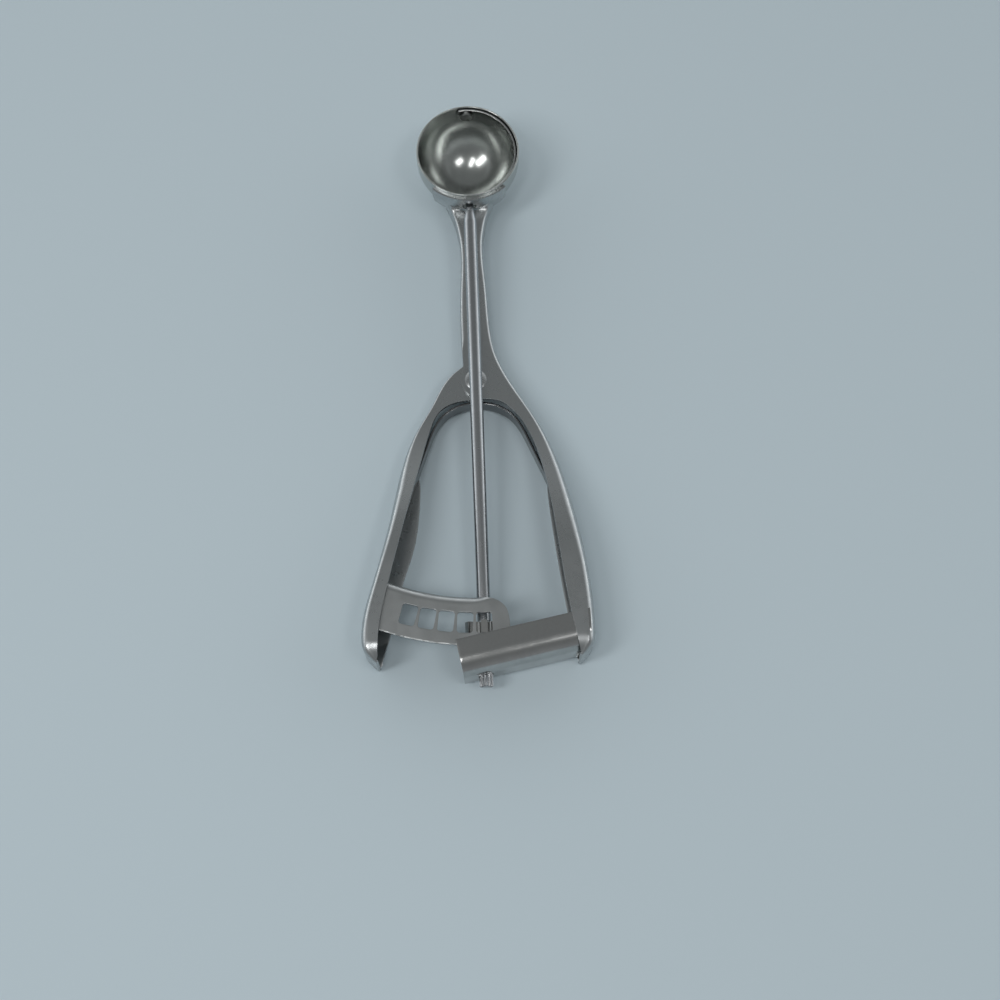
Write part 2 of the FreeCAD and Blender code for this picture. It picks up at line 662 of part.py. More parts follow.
def gear_cover():
    """A top plate folded down in front of the gears, trimmed to the right handle's wall."""
    thick, fold, foot = cell("cover_gauge"), cell("cover_fold"), cell("cover_foot")
    body = new_body("cover_blank")
    under, bend = cover_top - thick, fold - thick
    profile = sketched(body, "YZ_Plane", "cover_fold_profile",
                       [(cell("cover_depth"), cover_top), (fold, cover_top, fold, -1),
                        (0, cover_top - fold), (0, foot), (thick, foot),
                        (thick, cover_top - fold, bend, 1), (fold, under),
                        (cell("cover_depth"), under)])
    plate = body.newObject("PartDesign::Pad", "cover_sheet")
    plate.Profile = profile
    plate.setExpression("Length", (cell("right_reach") + cell("cover_left")
                                   + cell("cover_depth")).formula)
    turn = Rotation(Vector(0, 0, 1), size("cover_angle"))
    body.Placement = (Placement(Vector(0, -cover_front.number, 0), turn)
                      * Placement(Vector(-size("cover_left"), 0, 0), Rotation()))
    seat = shaped("cover_seat", room_inside(right_wall, gauge + size("part_gap"), 1))
    trimmed = joined("Part::Common", "cover_trimmed", body, seat)
    bore = tied("Part::Cylinder", "cover_bore", towards_tail,
                Radius=cell("rod_radius") + cell("turn_fit"), Height=tail_length + cell("rod_stub"))
    return joined("Part::Cut", "gear_cover", trimmed, bore)


# The return spring: a flat strip on edge, bent to an arch behind the pivot

def return_spring():
    """The strip, with a leg inside each handle's channel that bears on the wall at its end."""
    strip = size("spring_gauge")
    bearing = gauge + size("part_gap") + strip
    leg_end, knee = -end * 0.704, -end * 0.454
    left_end = curve_at(beside(left_wall, -bearing), leg_end)
    right_end = curve_at(beside(right_wall, bearing), leg_end)
    left_knee = curve_at(beside(left_wall, -bearing - size("spring_bow")), knee)
    right_knee = curve_at(beside(right_wall, bearing + size("spring_bow")), knee)
    crown = (0, -size("arch_top") - size("spring_drop"))
    inside = spline([left_end, left_knee] + shares(left, [(-0.43, -0.233), (-0.277, -0.12)]) + [crown]
                    + shares(right, [(0.308, -0.118), (0.484, -0.227)]) + [right_knee, right_end])
    outside = beside(inside, -strip)
    start, stop = ends(inside)
    outer_start, outer_stop = ends(outside)
    edges = [inside.toShape(), outside.toShape()] + lines(start, outer_start) + lines(stop, outer_stop)
    high = ear_under.number - size("spring_room")
    return shaped("return_spring", prism(edges, size("spring_foot"), high))


# The bowl, the wiper blade in it and the pin that carries the blade's far end

def bowl():
    """The drawn bowl: half a ball with a straight collar, and holes for the rod and the pin."""
    place = Placement(bowl_centre, Rotation())
    shells = []
    for name, radius, collar in (
            ("bowl_out", cell("bowl_radius"), cell("bowl_collar")),
            ("bowl_in", cell("bowl_radius") - cell("bowl_wall"), cell("bowl_collar") * 2)):
        ball = tied("Part::Sphere", f"{name}_ball", place, Radius=radius)
        ball.Angle2 = 0
        tube = tied("Part::Cylinder", f"{name}_tube", place, Radius=radius, Height=collar)
        shells.append(joined("Part::Fuse", f"{name}side", ball, tube))
    cup = joined("Part::Cut", "bowl_cup", *shells)
    holes = doc.addObject("Part::MultiFuse", "bowl_holes")
    holes.Shapes = [
        tied("Part::Cylinder", "journal_hole", towards_tail, Height=cell("bowl_radius") * 2,
             Radius=cell("journal_radius") + cell("turn_fit")),
        tied("Part::Cylinder", "pin_hole", towards_bowl, Radius=cell("pin_radius"),
             Height=cell("bowl_radius") * 2)]
    return joined("Part::Cut", "bowl", cup, holes)


def wiper_blade():
    """A thin band on the inside of the bowl, from the rod's end round to the far pin.

    It is cut from a ball shell between two planes, with a round eye at each end; drawn with the
    rod along Y and the band on the +X side.
    """
    ball = tied("Part::Sphere", "blade_ball", Radius=blade_outside)
    core = tied("Part::Sphere", "blade_core", Radius=blade_inside)
    shell = joined("Part::Cut", "blade_shell", ball, core)
    long = size("bowl_radius")
    band = tied("Part::Box", "blade_band", Placement(Vector(0, -long, -size("blade_width") / 2), Rotation()),
                Length=cell("bowl_radius"), Width=cell("bowl_radius") * 2, Height=cell("blade_width"))
    lengthways = Rotation(Vector(1, 0, 0), -90)
    start = Placement(Vector(0, -long, 0), lengthways)
    eyes = tied("Part::Cylinder", "blade_eyes", start, Radius=cell("blade_eye"),
                Height=cell("bowl_radius") * 2)
    form = joined("Part::Common", "blade_form", shell, joined("Part::Fuse", "blade_outline", band, eyes))
    holes = doc.addObject("Part::MultiFuse", "blade_holes")
    holes.Shapes = [
        tied("Part::Cylinder", "blade_near_hole", start, Radius=cell("journal_radius"),
             Height=cell("bowl_radius")),
        tied("Part::Cylinder", "blade_far_hole", Placement(Vector(), lengthways),
             Radius=cell("pin_radius") + cell("turn_fit"), Height=cell("bowl_radius"))]
    return joined("Part::Cut", "wiper_blade", form, holes)


def wiper_pin():
    """The headed pin through the bowl's wall; its inner head keeps the blade on."""
    head, lift = cell("pin_head"), cell("pin_head_height")
    inner = root(blade_inside * blade_inside - head * head) - cell("turn_fit") / 2
    outer = cell("bowl_radius") + cell("weld_gap") * 2
    return turned_body("wiper_pin", "XY_Plane", [
        (0, inner - lift), (head, inner - lift), (head, inner), (cell("pin_radius"), inner),
        (cell("pin_radius"), outer), (head, outer), (head * 0.6, outer + lift), (0, outer + lift)])


# The drive rod and the pinion pressed on it

def drive_rod():
    """The rod with its taper, its journal through the bowl and its peened inner end."""
    head, journal, radius = cell("journal_head"), cell("journal_radius"), cell("rod_radius")
    inner = root(blade_inside * blade_inside - head * head)
    shoulder = cell("bowl_radius") + cell("sheet_gauge") + cell("weld_gap") + cell("part_gap")
    bevel = cell("tail_chamfer")
    return turned_body("drive_rod", "XY_Plane", [
        (0, cell("head_height") - inner), (head, cell("head_height") - inner), (head, -inner),
        (journal, -inner), (journal, -shoulder), (radius, -(shoulder + cell("rod_taper"))),
        (radius, bevel - tail_length), (radius - bevel, -tail_length), (0, -tail_length)])


def pinion_gear():
    """The six-tooth pinion with its hub; the teeth are at the end towards the bowl."""
    body = new_body("pinion_gear")
    hub = body.newObject("Sketcher::SketchObject", "pinion_rings")
    origin = [item for item in body.Origin.OriginFeatures if item.Role == "XY_Plane"][0]
    hub.AttachmentSupport = (origin, [""])
    hub.MapMode = "FlatFace"
    for radius in (cell("pinion_hub"), cell("rod_radius")):
        ring = hub.addGeometry(Part.Circle(Vector(), Vector(0, 0, 1), radius.number), False)
        hub.addConstraint(Sketcher.Constraint("Coincident", ring, 3, -1, 1))
        row = hub.addConstraint(Sketcher.Constraint("Radius", ring, radius.number))
        hub.setExpression(f"Constraints[{row}]", radius.formula)
    sleeve = body.newObject("PartDesign::Pad", "pinion_sleeve")
    sleeve.Profile = hub
    sleeve.setExpression("Length", cell("pinion_length").formula)
    doc.recompute()
    buried = (cell("pinion_hub") + cell("rod_radius")) / 2
    half_root, half_tip = cell("tooth_root") / 2, cell("tooth_tip") / 2
    flank = sketched(body, "XY_Plane", "tooth_flank", [
        (-half_root, buried), (-half_root, cell("pinion_hub")), (-half_tip, cell("pinion_tip")),
        (half_tip, cell("pinion_tip")), (half_root, cell("pinion_hub")), (half_root, buried)])
    tooth = body.newObject("PartDesign::Pad", "pinion_tooth")
    tooth.Profile = flank
    tooth.setExpression("Length", cell("tooth_length").formula)
    doc.recompute()
    teeth = body.newObject("PartDesign::PolarPattern", "pinion_row")
    teeth.Originals = [tooth]
    teeth.Axis = (flank, ["N_Axis"])
    teeth.Angle = 360
    teeth.setExpression("Occurrences", cell("pinion_teeth").formula)
    body.Tip = teeth
    return body


# The pivot: a rivet through web and ear, and the washer under the ear

def pivot_rivet():
    """The rivet through web, ear and washer, with a low dome on top."""
    head, shank, crown = cell("rivet_head"), cell("rivet_radius"), cell("rivet_crown")
    foot = ear_under - cell("washer_gauge") - cell("ear_gap")
    ball = (head * head + crown * crown) / (crown * 2)
    return turned_body("pivot_rivet", "XZ_Plane", [
        (0, foot - crown), (head, foot - crown), (head, foot), (shank, foot), (shank, web_top),
        (head, web_top, ball, -1), (0, web_top + crown)])


def pivot_washer():
    """The flat washer between the lever's ear and the rivet's lower head."""
    foot = Vector(0, 0, ear_under.number - size("washer_gauge") - size("ear_gap") / 2)
    disc = tied("Part::Cylinder", "washer_disc", Placement(foot, Rotation()),
                Radius=cell("washer_radius"), Height=cell("washer_gauge"))
    hole = tied("Part::Cylinder", "washer_hole", Radius=cell("rivet_radius") + cell("turn_fit"),
                Height=web_top)
    return joined("Part::Cut", "pivot_washer", disc, hole)


pinion_start = -(reach + size("rack_radius") - size("pinion_lead")) / math.cos(math.radians(slope.number))
pinion_place = along_rod * Placement(Vector(0, pinion_start, 0), Rotation(Vector(1, 0, 0), 90))
pieces = [(make(), place) for make, place in (
    (handle_frame, in_plan), (bowl, in_plan), (gear_cover, in_plan), (pivot_rivet, in_plan),
    (pivot_washer, in_plan), (return_spring, in_plan), (squeeze_lever, in_plan),
    (rack_plate, in_plan), (drive_rod, along_rod), (pinion_gear, pinion_place),
    (wiper_blade, along_rod), (wiper_pin, along_rod))]
doc.recompute()
for piece, place in pieces:
    piece.Placement = place * piece.Placement
doc.recompute()

for item in doc.Objects:
    if "Invalid" in item.State or "Error" in item.State:
        raise RuntimeError(f"{item.Name} did not recompute: {item.State}")
for piece, place in pieces:
    if piece.Shape.isNull() or not piece.Shape.isValid():
        raise RuntimeError(f"{piece.Label} has no valid shape")

os.makedirs("parts", exist_ok=True)
for piece, place in pieces:
    piece.Shape.exportStep(f"parts/{piece.Label}.step")
    box = piece.Shape.BoundBox
    print(f"{piece.Label}: {len(piece.Shape.Solids)} solid, volume {piece.Shape.Volume:.1f}, "
          f"x {box.XMin:.2f} to {box.XMax:.2f}, y {box.YMin:.2f} to {box.YMax:.2f}, "
          f"z {box.ZMin:.2f} to {box.ZMax:.2f}")
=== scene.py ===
"""Lever ice cream scoop on a pale table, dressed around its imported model.

The pieces are drawn in millimetres from the pivot, as the maker's drawing would be, and put
into the model's frame in metres: +Z up from the table, +Y along the rod to the bowl.
"""

import json
import math

import bmesh
import bpy
import numpy as np
from mathutils import Matrix, Vector


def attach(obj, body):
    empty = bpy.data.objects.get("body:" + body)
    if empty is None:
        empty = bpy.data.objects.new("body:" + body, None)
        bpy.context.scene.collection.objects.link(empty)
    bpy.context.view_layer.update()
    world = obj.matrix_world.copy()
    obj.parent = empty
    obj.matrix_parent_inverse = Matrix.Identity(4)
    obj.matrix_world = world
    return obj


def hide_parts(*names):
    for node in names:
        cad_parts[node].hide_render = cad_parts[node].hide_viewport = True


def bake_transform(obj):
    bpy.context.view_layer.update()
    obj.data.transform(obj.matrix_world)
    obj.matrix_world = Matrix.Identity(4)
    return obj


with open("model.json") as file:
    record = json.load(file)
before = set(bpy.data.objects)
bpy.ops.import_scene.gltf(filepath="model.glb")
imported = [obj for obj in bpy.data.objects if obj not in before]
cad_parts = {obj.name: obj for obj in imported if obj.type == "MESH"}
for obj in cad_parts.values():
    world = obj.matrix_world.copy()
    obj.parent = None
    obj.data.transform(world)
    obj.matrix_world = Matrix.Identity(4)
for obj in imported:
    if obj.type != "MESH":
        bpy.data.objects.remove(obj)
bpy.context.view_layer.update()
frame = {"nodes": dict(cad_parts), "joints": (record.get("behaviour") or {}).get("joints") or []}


# The camera stands over the handles' end and looks down at the scoop, tilted towards the bowl.
# Its place comes from the height of a hand-held shot and the rim's ellipse in the photograph.

MM = 0.001
eye_height = 433 * MM
eye_back = 178.6 * MM
eye_side = 2.4 * MM
tilt_from_down = math.radians(18.5)
turn_about_up = math.radians(-2.167)

camera_data = bpy.data.cameras.new("overhead_camera")
camera_data.sensor_width = 36.0
camera_data.lens = 54.0
camera_data.clip_start = 0.01
camera = bpy.data.objects.new("overhead_camera", camera_data)
camera.matrix_world = (Matrix.Translation((eye_side, -eye_back, eye_height))
                       @ Matrix.Rotation(turn_about_up, 4, "Z")
                       @ Matrix.Rotation(tilt_from_down, 4, "X"))
bpy.context.scene.collection.objects.link(camera)
bpy.context.scene.camera = camera


# The stamped frame: cradle, neck, pivot web and right handle in one channel of stainless sheet,
# pressed in a die and barrel-polished, so it is satin with fine drawn lines along its length.

joints = {joint["name"]: joint for joint in frame["joints"]}
pivot = np.array(joints["squeeze"]["pos_m"]) * [1, 1, 0]
bowl_centre = np.array(joints["wiper_turn"]["pos_m"])
rod_axis = np.array(joints["wiper_turn"]["axis"])
rod_side = np.array([1.0, 0.0, 0.0])
rod_up = np.cross(rod_side, rod_axis)
bowl_spot = (bowl_centre - pivot) / MM

gauge = 0.9
web_top = 9.0
neck_rise = 3.5
neck_slope = 0.05
handle_top = 15.48
level_half = 8.0
climb_end = 60.0
tip_start = 82.0
tip_length = 6.1
tip_drop = 2.6
neck_climb_end = 52.0
foot_places = (-18.0, 8.0, 64.0)
foot_rises = (0.0, 2.2, 7.4)


def ramp(value, start, stop):
    """Smooth climb from 0 to 1 between two values: three squares less two cubes."""
    share = np.clip((np.asarray(value, float) - start) / (stop - start), 0, 1)
    return share * share * (3 - 2 * share)


def unit(vectors):
    """Vectors divided by their lengths."""
    return vectors / np.linalg.norm(vectors, axis=-1, keepdims=True)


def level_unit(vectors):
    """Vectors laid level and divided by their lengths."""
    return unit(vectors * [1, 1, 0])


def curve_through(points, count=600):
    """A natural cubic spline through points, by the length of the chords, at even steps.

    The second derivatives come from the usual three-band system; each span is the cubic that
    they give. It is taken at four times as many points and spread evenly along its own length.
    """
    points = np.asarray(points, float)
    chords = np.linalg.norm(np.diff(points, axis=0), axis=1)
    knots = np.concatenate([[0], np.cumsum(chords)])
    size = len(points)
    system = np.eye(size)
    right = np.zeros_like(points)
    inner = np.arange(1, size - 1)
    system[inner, inner - 1] = chords[:-1]
    system[inner, inner] = 2 * (chords[:-1] + chords[1:])
    system[inner, inner + 1] = chords[1:]
    slopes = np.diff(points, axis=0) / chords[:, None]
    right[1:-1] = 6 * np.diff(slopes, axis=0)
    bend = np.linalg.solve(system, right)
    where = np.linspace(0, knots[-1], 4 * count)
    span = np.clip(np.searchsorted(knots, where, side="right") - 1, 0, size - 2)
    length = chords[span][:, None]
    ahead = (knots[span + 1] - where)[:, None]
    behind = (where - knots[span])[:, None]
    dense = ((bend[span] * ahead ** 3 + bend[span + 1] * behind ** 3) / (6 * length)
             + (points[span] / length - bend[span] * length / 6) * ahead
             + (points[span + 1] / length - bend[span + 1] * length / 6) * behind)
    return evenly(dense, count)


def evenly(line, count):
    """The same line with points at even steps of its length."""
    run = np.concatenate([[0], np.cumsum(np.linalg.norm(np.diff(line, axis=0), axis=1))])
    where = np.linspace(0, run[-1], count)
    return np.stack([np.interp(where, run, line[:, axis]) for axis in range(line.shape[1])], axis=1)


def top_height(y, low):
    """Top of a handle over Y: level at the pivot, a smooth climb to the bowl and to the grip.

    Past its climb the neck goes on at a slight slope. Past the start of a handle's tip the top
    drops with the square of the way along the tip.
    """
    return (low + neck_rise * ramp(y, level_half, neck_climb_end)
            + neck_slope * np.maximum(y - neck_climb_end, 0)
            + (handle_top - low) * ramp(-y, level_half, climb_end)
            - tip_drop * np.clip((-y - tip_start) / tip_length, 0, 1) ** 2)


def foot_height(y):
    """Lower edge of the walls: on the table along the grip, then rising to the bowl.

    It runs straight from each of the named places to the next.
    """
    return np.interp(y, foot_places, foot_rises)


def fold_over(corner, out, down, radius, count):
    """A quarter round at a corner: out times the sine and down times one less the cosine."""
    turn = np.linspace(0, 1, count)[None, :, None] * math.pi / 2
    radius = np.asarray(radius).reshape(-1, 1, 1)
    return (corner[:, None, :] - out[:, None, :] * radius * (1 - np.sin(turn))
            + down[:, None, :] * radius * (1 - np.cos(turn)))


wall_bend_points, wall_points = 11, 12
small_bend_points, strip_points = 9, 10


def channel(plate, down, wall_radius, wall_depth, floor_radius):
    """A channel's top and wall: the plate, a quarter round at its last column, a straight wall.

    The wall stops one floor radius above its foot, where the floor's quarter round begins.
    """
    out = level_unit(plate[:, -1] - plate[:, -2])
    corner = plate[:, -1] + out * wall_radius[:, None]
    bend = fold_over(corner, out, down, wall_radius, wall_bend_points)
    share = np.linspace(0, 1, wall_points)[None, 1:, None]
    first = wall_radius[:, None, None]
    last = (wall_depth - floor_radius)[:, None, None]
    wall = corner[:, None, :] + down[:, None, :] * (first + (last - first) * share)
    return np.concatenate([plate, bend[:, 1:], wall], axis=1), corner


def floor_strip(corner, down, wall_depth, inward, radius, width):
    """A channel's floor: a quarter round from the wall's foot, then a flat strip inward."""
    foot = corner + down * wall_depth[:, None]
    bend = fold_over(foot, down, inward, radius, small_bend_points)
    share = np.linspace(0, 1, strip_points)[None, 1:, None]
    strip = foot[:, None, :] + inward[:, None, :] * (
        radius[:, None, None] + (width - radius)[:, None, None] * share)
    return np.concatenate([bend, strip], axis=1)


merge_distance = 0.002
sliver_length = 0.001


def grid_piece(name, grids, body, flip=False):
    """One mesh from grids of points in millimetres from the pivot; shared edges are merged."""
    points, faces, start = [], [], 0
    for grid in grids:
        rows, columns = grid.shape[:2]
        first = np.arange(rows - 1)[:, None] * columns + np.arange(columns - 1)[None, :]
        first = first.ravel() + start
        faces.append(np.stack([first, first + 1, first + columns + 1, first + columns], axis=1))
        points.append(grid.reshape(-1, 3))
        start += rows * columns
    points = np.concatenate(points) * MM + pivot
    faces = np.concatenate(faces)
    if flip:
        faces = faces[:, ::-1]
    mesh = bpy.data.meshes.new(name)
    mesh.from_pydata(points.tolist(), [], faces.tolist())
    merge = bmesh.new()
    merge.from_mesh(mesh)
    bmesh.ops.remove_doubles(merge, verts=merge.verts, dist=merge_distance * MM)
    bmesh.ops.dissolve_degenerate(merge, edges=merge.edges, dist=sliver_length * MM)
    merge.to_mesh(mesh)
    merge.free()
    piece = bpy.data.objects.new(name, mesh)
    bpy.context.scene.collection.objects.link(piece)
    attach(piece, body)
    return piece


rim_break = 0.16
rim_angle = math.radians(50)


def finished(piece, thickness=0.0, rim=0.0, cutters=(), sharp=40):
    """Gives a surface its gauge, cuts its holes, breaks its rims, and keeps that as its mesh.

    A point that a broken rim has pushed below the table is put back on it.
    """
    if thickness:
        wall = piece.modifiers.new("gauge", "SOLIDIFY")
        wall.thickness = thickness * MM
        wall.offset = -1
    for cutter in cutters:
        hole = piece.modifiers.new("hole", "BOOLEAN")
        hole.operation = "DIFFERENCE"
        hole.object = cutter
    if rim:
        edge = piece.modifiers.new("rim", "BEVEL")
        edge.width = rim * MM
        edge.segments = 2
        edge.limit_method = "ANGLE"
        edge.angle_limit = rim_angle
        edge.use_clamp_overlap = True
    graph = bpy.context.evaluated_depsgraph_get()
    baked = bpy.data.meshes.new_from_object(piece.evaluated_get(graph))
    piece.modifiers.clear()
    piece.data = baked
    spots = np.empty(3 * len(baked.vertices))
    baked.vertices.foreach_get("co", spots)
    spots[2::3] = np.maximum(spots[2::3], 0)
    baked.vertices.foreach_set("co", spots)
    baked.shade_smooth()
    baked.set_sharp_from_angle(angle=math.radians(sharp))
    for cutter in cutters:
        bpy.data.objects.remove(cutter)


def bar_cutter(name, start, stop, radius, sides=64):
    """A closed round bar between two points in metres, for cutting holes."""
    start, stop = Vector(start), Vector(stop)
    shape = bmesh.new()
    bmesh.ops.create_cone(shape, cap_ends=True, segments=sides, radius1=radius * MM,
                          radius2=radius * MM, depth=(stop - start).length)
    turn = (stop - start).to_track_quat("Z", "Y").to_matrix().to_4x4()
    shape.transform(Matrix.Translation((start + stop) / 2) @ turn)
    mesh = bpy.data.meshes.new(name)
    shape.to_mesh(mesh)
    shape.free()
    cutter = bpy.data.objects.new(name, mesh)
    bpy.context.scene.collection.objects.link(cutter)
    return cutter


def grain_group():
    """Satin steel: lines from a stretched noise, clouds of tone and faint smudges.

    Tone and roughness run between two levels by clouds and smudges mixed; the normal comes
    from the lines.
    """
    group = bpy.data.node_groups.new("satin_grain", "ShaderNodeTree")
    for name, kind in (("Place", "NodeSocketVector"), ("Tone", "NodeSocketColor"),
                       ("Dull Tone", "NodeSocketColor"), ("Smooth", "NodeSocketFloat"),
                       ("Dull", "NodeSocketFloat"), ("Line Depth", "NodeSocketFloat")):
        group.interface.new_socket(name, in_out="INPUT", socket_type=kind)
    for name, kind in (("Tone", "NodeSocketColor"), ("Rough", "NodeSocketFloat"),
                       ("Normal", "NodeSocketVector")):
        group.interface.new_socket(name, in_out="OUTPUT", socket_type=kind)
    nodes, links = group.nodes, group.links
    start = nodes.new("NodeGroupInput")
    stop = nodes.new("NodeGroupOutput")

    stretch = nodes.new("ShaderNodeMapping")
    stretch.inputs["Scale"].default_value = (7000, 220, 7000)
    lines = nodes.new("ShaderNodeTexNoise")
    lines.inputs["Scale"].default_value = 1.0
    lines.inputs["Detail"].default_value = 2.0
    clouds = nodes.new("ShaderNodeTexNoise")
    clouds.inputs["Scale"].default_value = 90.0
    clouds.inputs["Detail"].default_value = 3.0
    smudges = nodes.new("ShaderNodeTexNoise")
    smudges.inputs["Scale"].default_value = 520.0
    smudges.inputs["Detail"].default_value = 5.0
    smudges.inputs["Roughness"].default_value = 0.62
    links.new(start.outputs["Place"], stretch.inputs["Vector"])
    links.new(stretch.outputs["Vector"], lines.inputs["Vector"])
    links.new(start.outputs["Place"], clouds.inputs["Vector"])
    links.new(start.outputs["Place"], smudges.inputs["Vector"])

    blend = nodes.new("ShaderNodeMix")
    blend.inputs["Factor"].default_value = 0.5
    links.new(clouds.outputs["Fac"], blend.inputs[2])
    links.new(smudges.outputs["Fac"], blend.inputs[3])
    spread = nodes.new("ShaderNodeMapRange")
    spread.inputs["From Min"].default_value = 0.36
    spread.inputs["From Max"].default_value = 0.64
    links.new(blend.outputs[0], spread.inputs["Value"])

    tone = nodes.new("ShaderNodeMix")
    tone.data_type = "RGBA"
    links.new(spread.outputs["Result"], tone.inputs[0])
    links.new(start.outputs["Tone"], tone.inputs[6])
    links.new(start.outputs["Dull Tone"], tone.inputs[7])
    links.new(tone.outputs[2], stop.inputs["Tone"])

    rough = nodes.new("ShaderNodeMix")
    links.new(spread.outputs["Result"], rough.inputs["Factor"])
    links.new(start.outputs["Smooth"], rough.inputs[2])
    links.new(start.outputs["Dull"], rough.inputs[3])
    links.new(rough.outputs[0], stop.inputs["Rough"])

    bump = nodes.new("ShaderNodeBump")
    bump.inputs["Distance"].default_value = 0.00001
    links.new(start.outputs["Line Depth"], bump.inputs["Strength"])
    links.new(lines.outputs["Fac"], bump.inputs["Height"])
    links.new(bump.outputs["Normal"], stop.inputs["Normal"])
    return group


grain = grain_group()
steel_tone = (0.50, 0.52, 0.525)
dull_share = 0.84


def steel(name, tone, smooth, dull, line_depth, turn=0.0):
    """A satin steel: the shared grain with its own tone, gloss and direction of the lines."""
    material = bpy.data.materials.new(name)
    material.use_nodes = True
    nodes, links = material.node_tree.nodes, material.node_tree.links
    shader = nodes["Principled BSDF"]
    shader.inputs["Metallic"].default_value = 1.0
    place = nodes.new("ShaderNodeTexCoord")
    lay = nodes.new("ShaderNodeMapping")
    lay.inputs["Rotation"].default_value = (0, 0, turn)
    finish = nodes.new("ShaderNodeGroup")
    finish.node_tree = grain
    finish.inputs["Tone"].default_value = (*tone, 1)
    finish.inputs["Dull Tone"].default_value = (*(dull_share * part for part in tone), 1)
    finish.inputs["Smooth"].default_value = smooth
    finish.inputs["Dull"].default_value = dull
    finish.inputs["Line Depth"].default_value = line_depth
    links.new(place.outputs["Object"], lay.inputs["Vector"])
    links.new(lay.outputs["Vector"], finish.inputs["Place"])
    links.new(finish.outputs["Tone"], shader.inputs["Base Color"])
    links.new(finish.outputs["Rough"], shader.inputs["Roughness"])
    links.new(finish.outputs["Normal"], shader.inputs["Normal"])
    return material


def dress(piece, material):
    """Puts a material in every slot of a piece."""
    if not piece.material_slots:
        piece.data.materials.append(material)
    for slot in piece.material_slots:
        slot.material = material


pressed_steel = steel("pressed_steel", steel_tone, smooth=0.24, dull=0.34, line_depth=0.25)

right_wall = curve_through([(11.2, 62.5), (6.7, 56.6), (4.1, 49.0), (4.3, 30.0), (6.4, 9.0),
                            (18.3, -14.0), (28.6, -48.5), (31.8, -79.6), (30.9, -84.9),
                            (27.6, -88.1)])
left_edge = curve_through([(-11.2, 62.5), (-6.7, 56.6), (-4.0, 49.0), (-3.8, 30.0), (-3.8, 8.5),
                           (-3.9, 3.4), (-4.6, 0.0), (-3.3, -3.7), (0.0, -5.9), (6.2, -6.8),
                           (11.0, -10.2), (15.2, -16.9), (18.3, -26.0), (21.9, -48.5),
                           (24.9, -74.0), (27.2, -86.6)])
right_floor = curve_through([(16.6, -14.0), (19.6, -24.0), (20.6, -34.0), (22.4, -53.6),
                             (25.0, -74.0), (26.9, -86.1)])


def between(line, marks, stations):
    """Points of a line for each station, where the marks give some stations' own points.

    A mark is a share of all stations and the number of the line's point that belongs there.
    """
    shares, numbers = zip(*marks)
    where = np.interp(np.linspace(0, 1, stations), shares, numbers)
    spots = np.arange(len(line))
    return np.stack([np.interp(where, spots, line[:, axis]) for axis in (0, 1)], axis=1)


def point_at(line, y, after=0):
    """The number of the first point of a line, past another, that lies below one Y."""
    return after + int(np.argmax(line[after:, 1] < y))


def ruled(free, wall, columns, low, radius):
    """The top plate between its free edge and its wall, pulled in by the wall's radius.

    Each row runs straight from the one to the other, with its points at the handle's top height.
    """
    across = np.stack([wall[:, 0] - free[:, 0], wall[:, 1] - free[:, 1]], axis=1)
    inner = wall - unit(across) * radius[:, None]
    share = np.linspace(0, 1, columns)[None, :, None]
    plan = free[:, None, :] * (1 - share) + inner[:, None, :] * share
    return np.concatenate([plan, top_height(plan[..., 1:2], low)], axis=2)


def in_space(plan, height):
    """Plan points lifted to a height."""
    return np.concatenate([plan, np.broadcast_to(height, plan.shape[:1])[:, None]], axis=1)


# the plate's rows run from its free edge to its wall; at some shares of them both edges have a Y
# of their own, which fans the rows round the arch and keeps them inside its edge

flare_start = 49.0
stations, columns, flare_rows = 330, 29, 44
neck_share, arch_share, grip_share = 0.3, 0.42, 0.51
neck_end = 8.5
arch_free, arch_wall = -5.9, -2.5
grip_free, grip_wall = -10.2, -11.5
marks_wall = [(0, point_at(right_wall, flare_start)), (neck_share, point_at(right_wall, neck_end)),
              (arch_share, point_at(right_wall, arch_wall)),
              (grip_share, point_at(right_wall, grip_wall)), (1, len(right_wall) - 1)]
marks_free = [(0, point_at(left_edge, flare_start)), (neck_share, point_at(left_edge, neck_end)),
              (arch_share, point_at(left_edge, arch_free)),
              (grip_share, point_at(left_edge, grip_free)), (1, len(left_edge) - 1)]
wall_line = between(right_wall, marks_wall, stations)
free_line = between(left_edge, marks_free, stations)

# the bend from top to wall grows along the grip; the neck's other bend fades before the pivot

plate_round = 1.3
grip_round = 1.5
round_end = 45
round_share = 0.42
neck_round = 1.25
neck_round_start = 8.4
neck_round_end = 15
least_round = 0.02
width = np.linalg.norm(wall_line - free_line, axis=1)
wall_radius = plate_round + grip_round * ramp(-wall_line[:, 1], 0, round_end)
wall_radius = np.minimum(wall_radius, round_share * width)
along_neck = np.arange(stations) < neck_share * stations
neck_radius = neck_round * ramp(free_line[:, 1], neck_round_start, neck_round_end) * along_neck
neck_radius = neck_radius + least_round
free_pulled = free_line + unit(wall_line - free_line) * neck_radius[:, None]
plate = ruled(free_pulled, wall_line, columns, web_top, wall_radius)

# the flare: the neck's top spreads round the bowl and turns up into the cradle's wall by a
# quarter round, with room left for the rod; seen from above its rows are parabolas

cradle_radius = 17.2
cradle_fillet = 2.5
rod_room = 2.1
fillet_span = 4.5
steps = np.linspace(0, 1, flare_rows, endpoint=False) ** 2


def flare_side(line):
    """The part of an outline from the cradle's wall to the neck, with rows closer at the wall.

    Each row's place along it is the square of an even step.
    """
    far = np.hypot(line[:, 0], line[:, 1] - bowl_spot[1])
    first = int(np.argmax(far >= cradle_radius))
    where = first + (point_at(line, flare_start) - first) * steps
    return np.stack([np.interp(where, np.arange(len(line)), line[:, axis]) for axis in (0, 1)], axis=1)


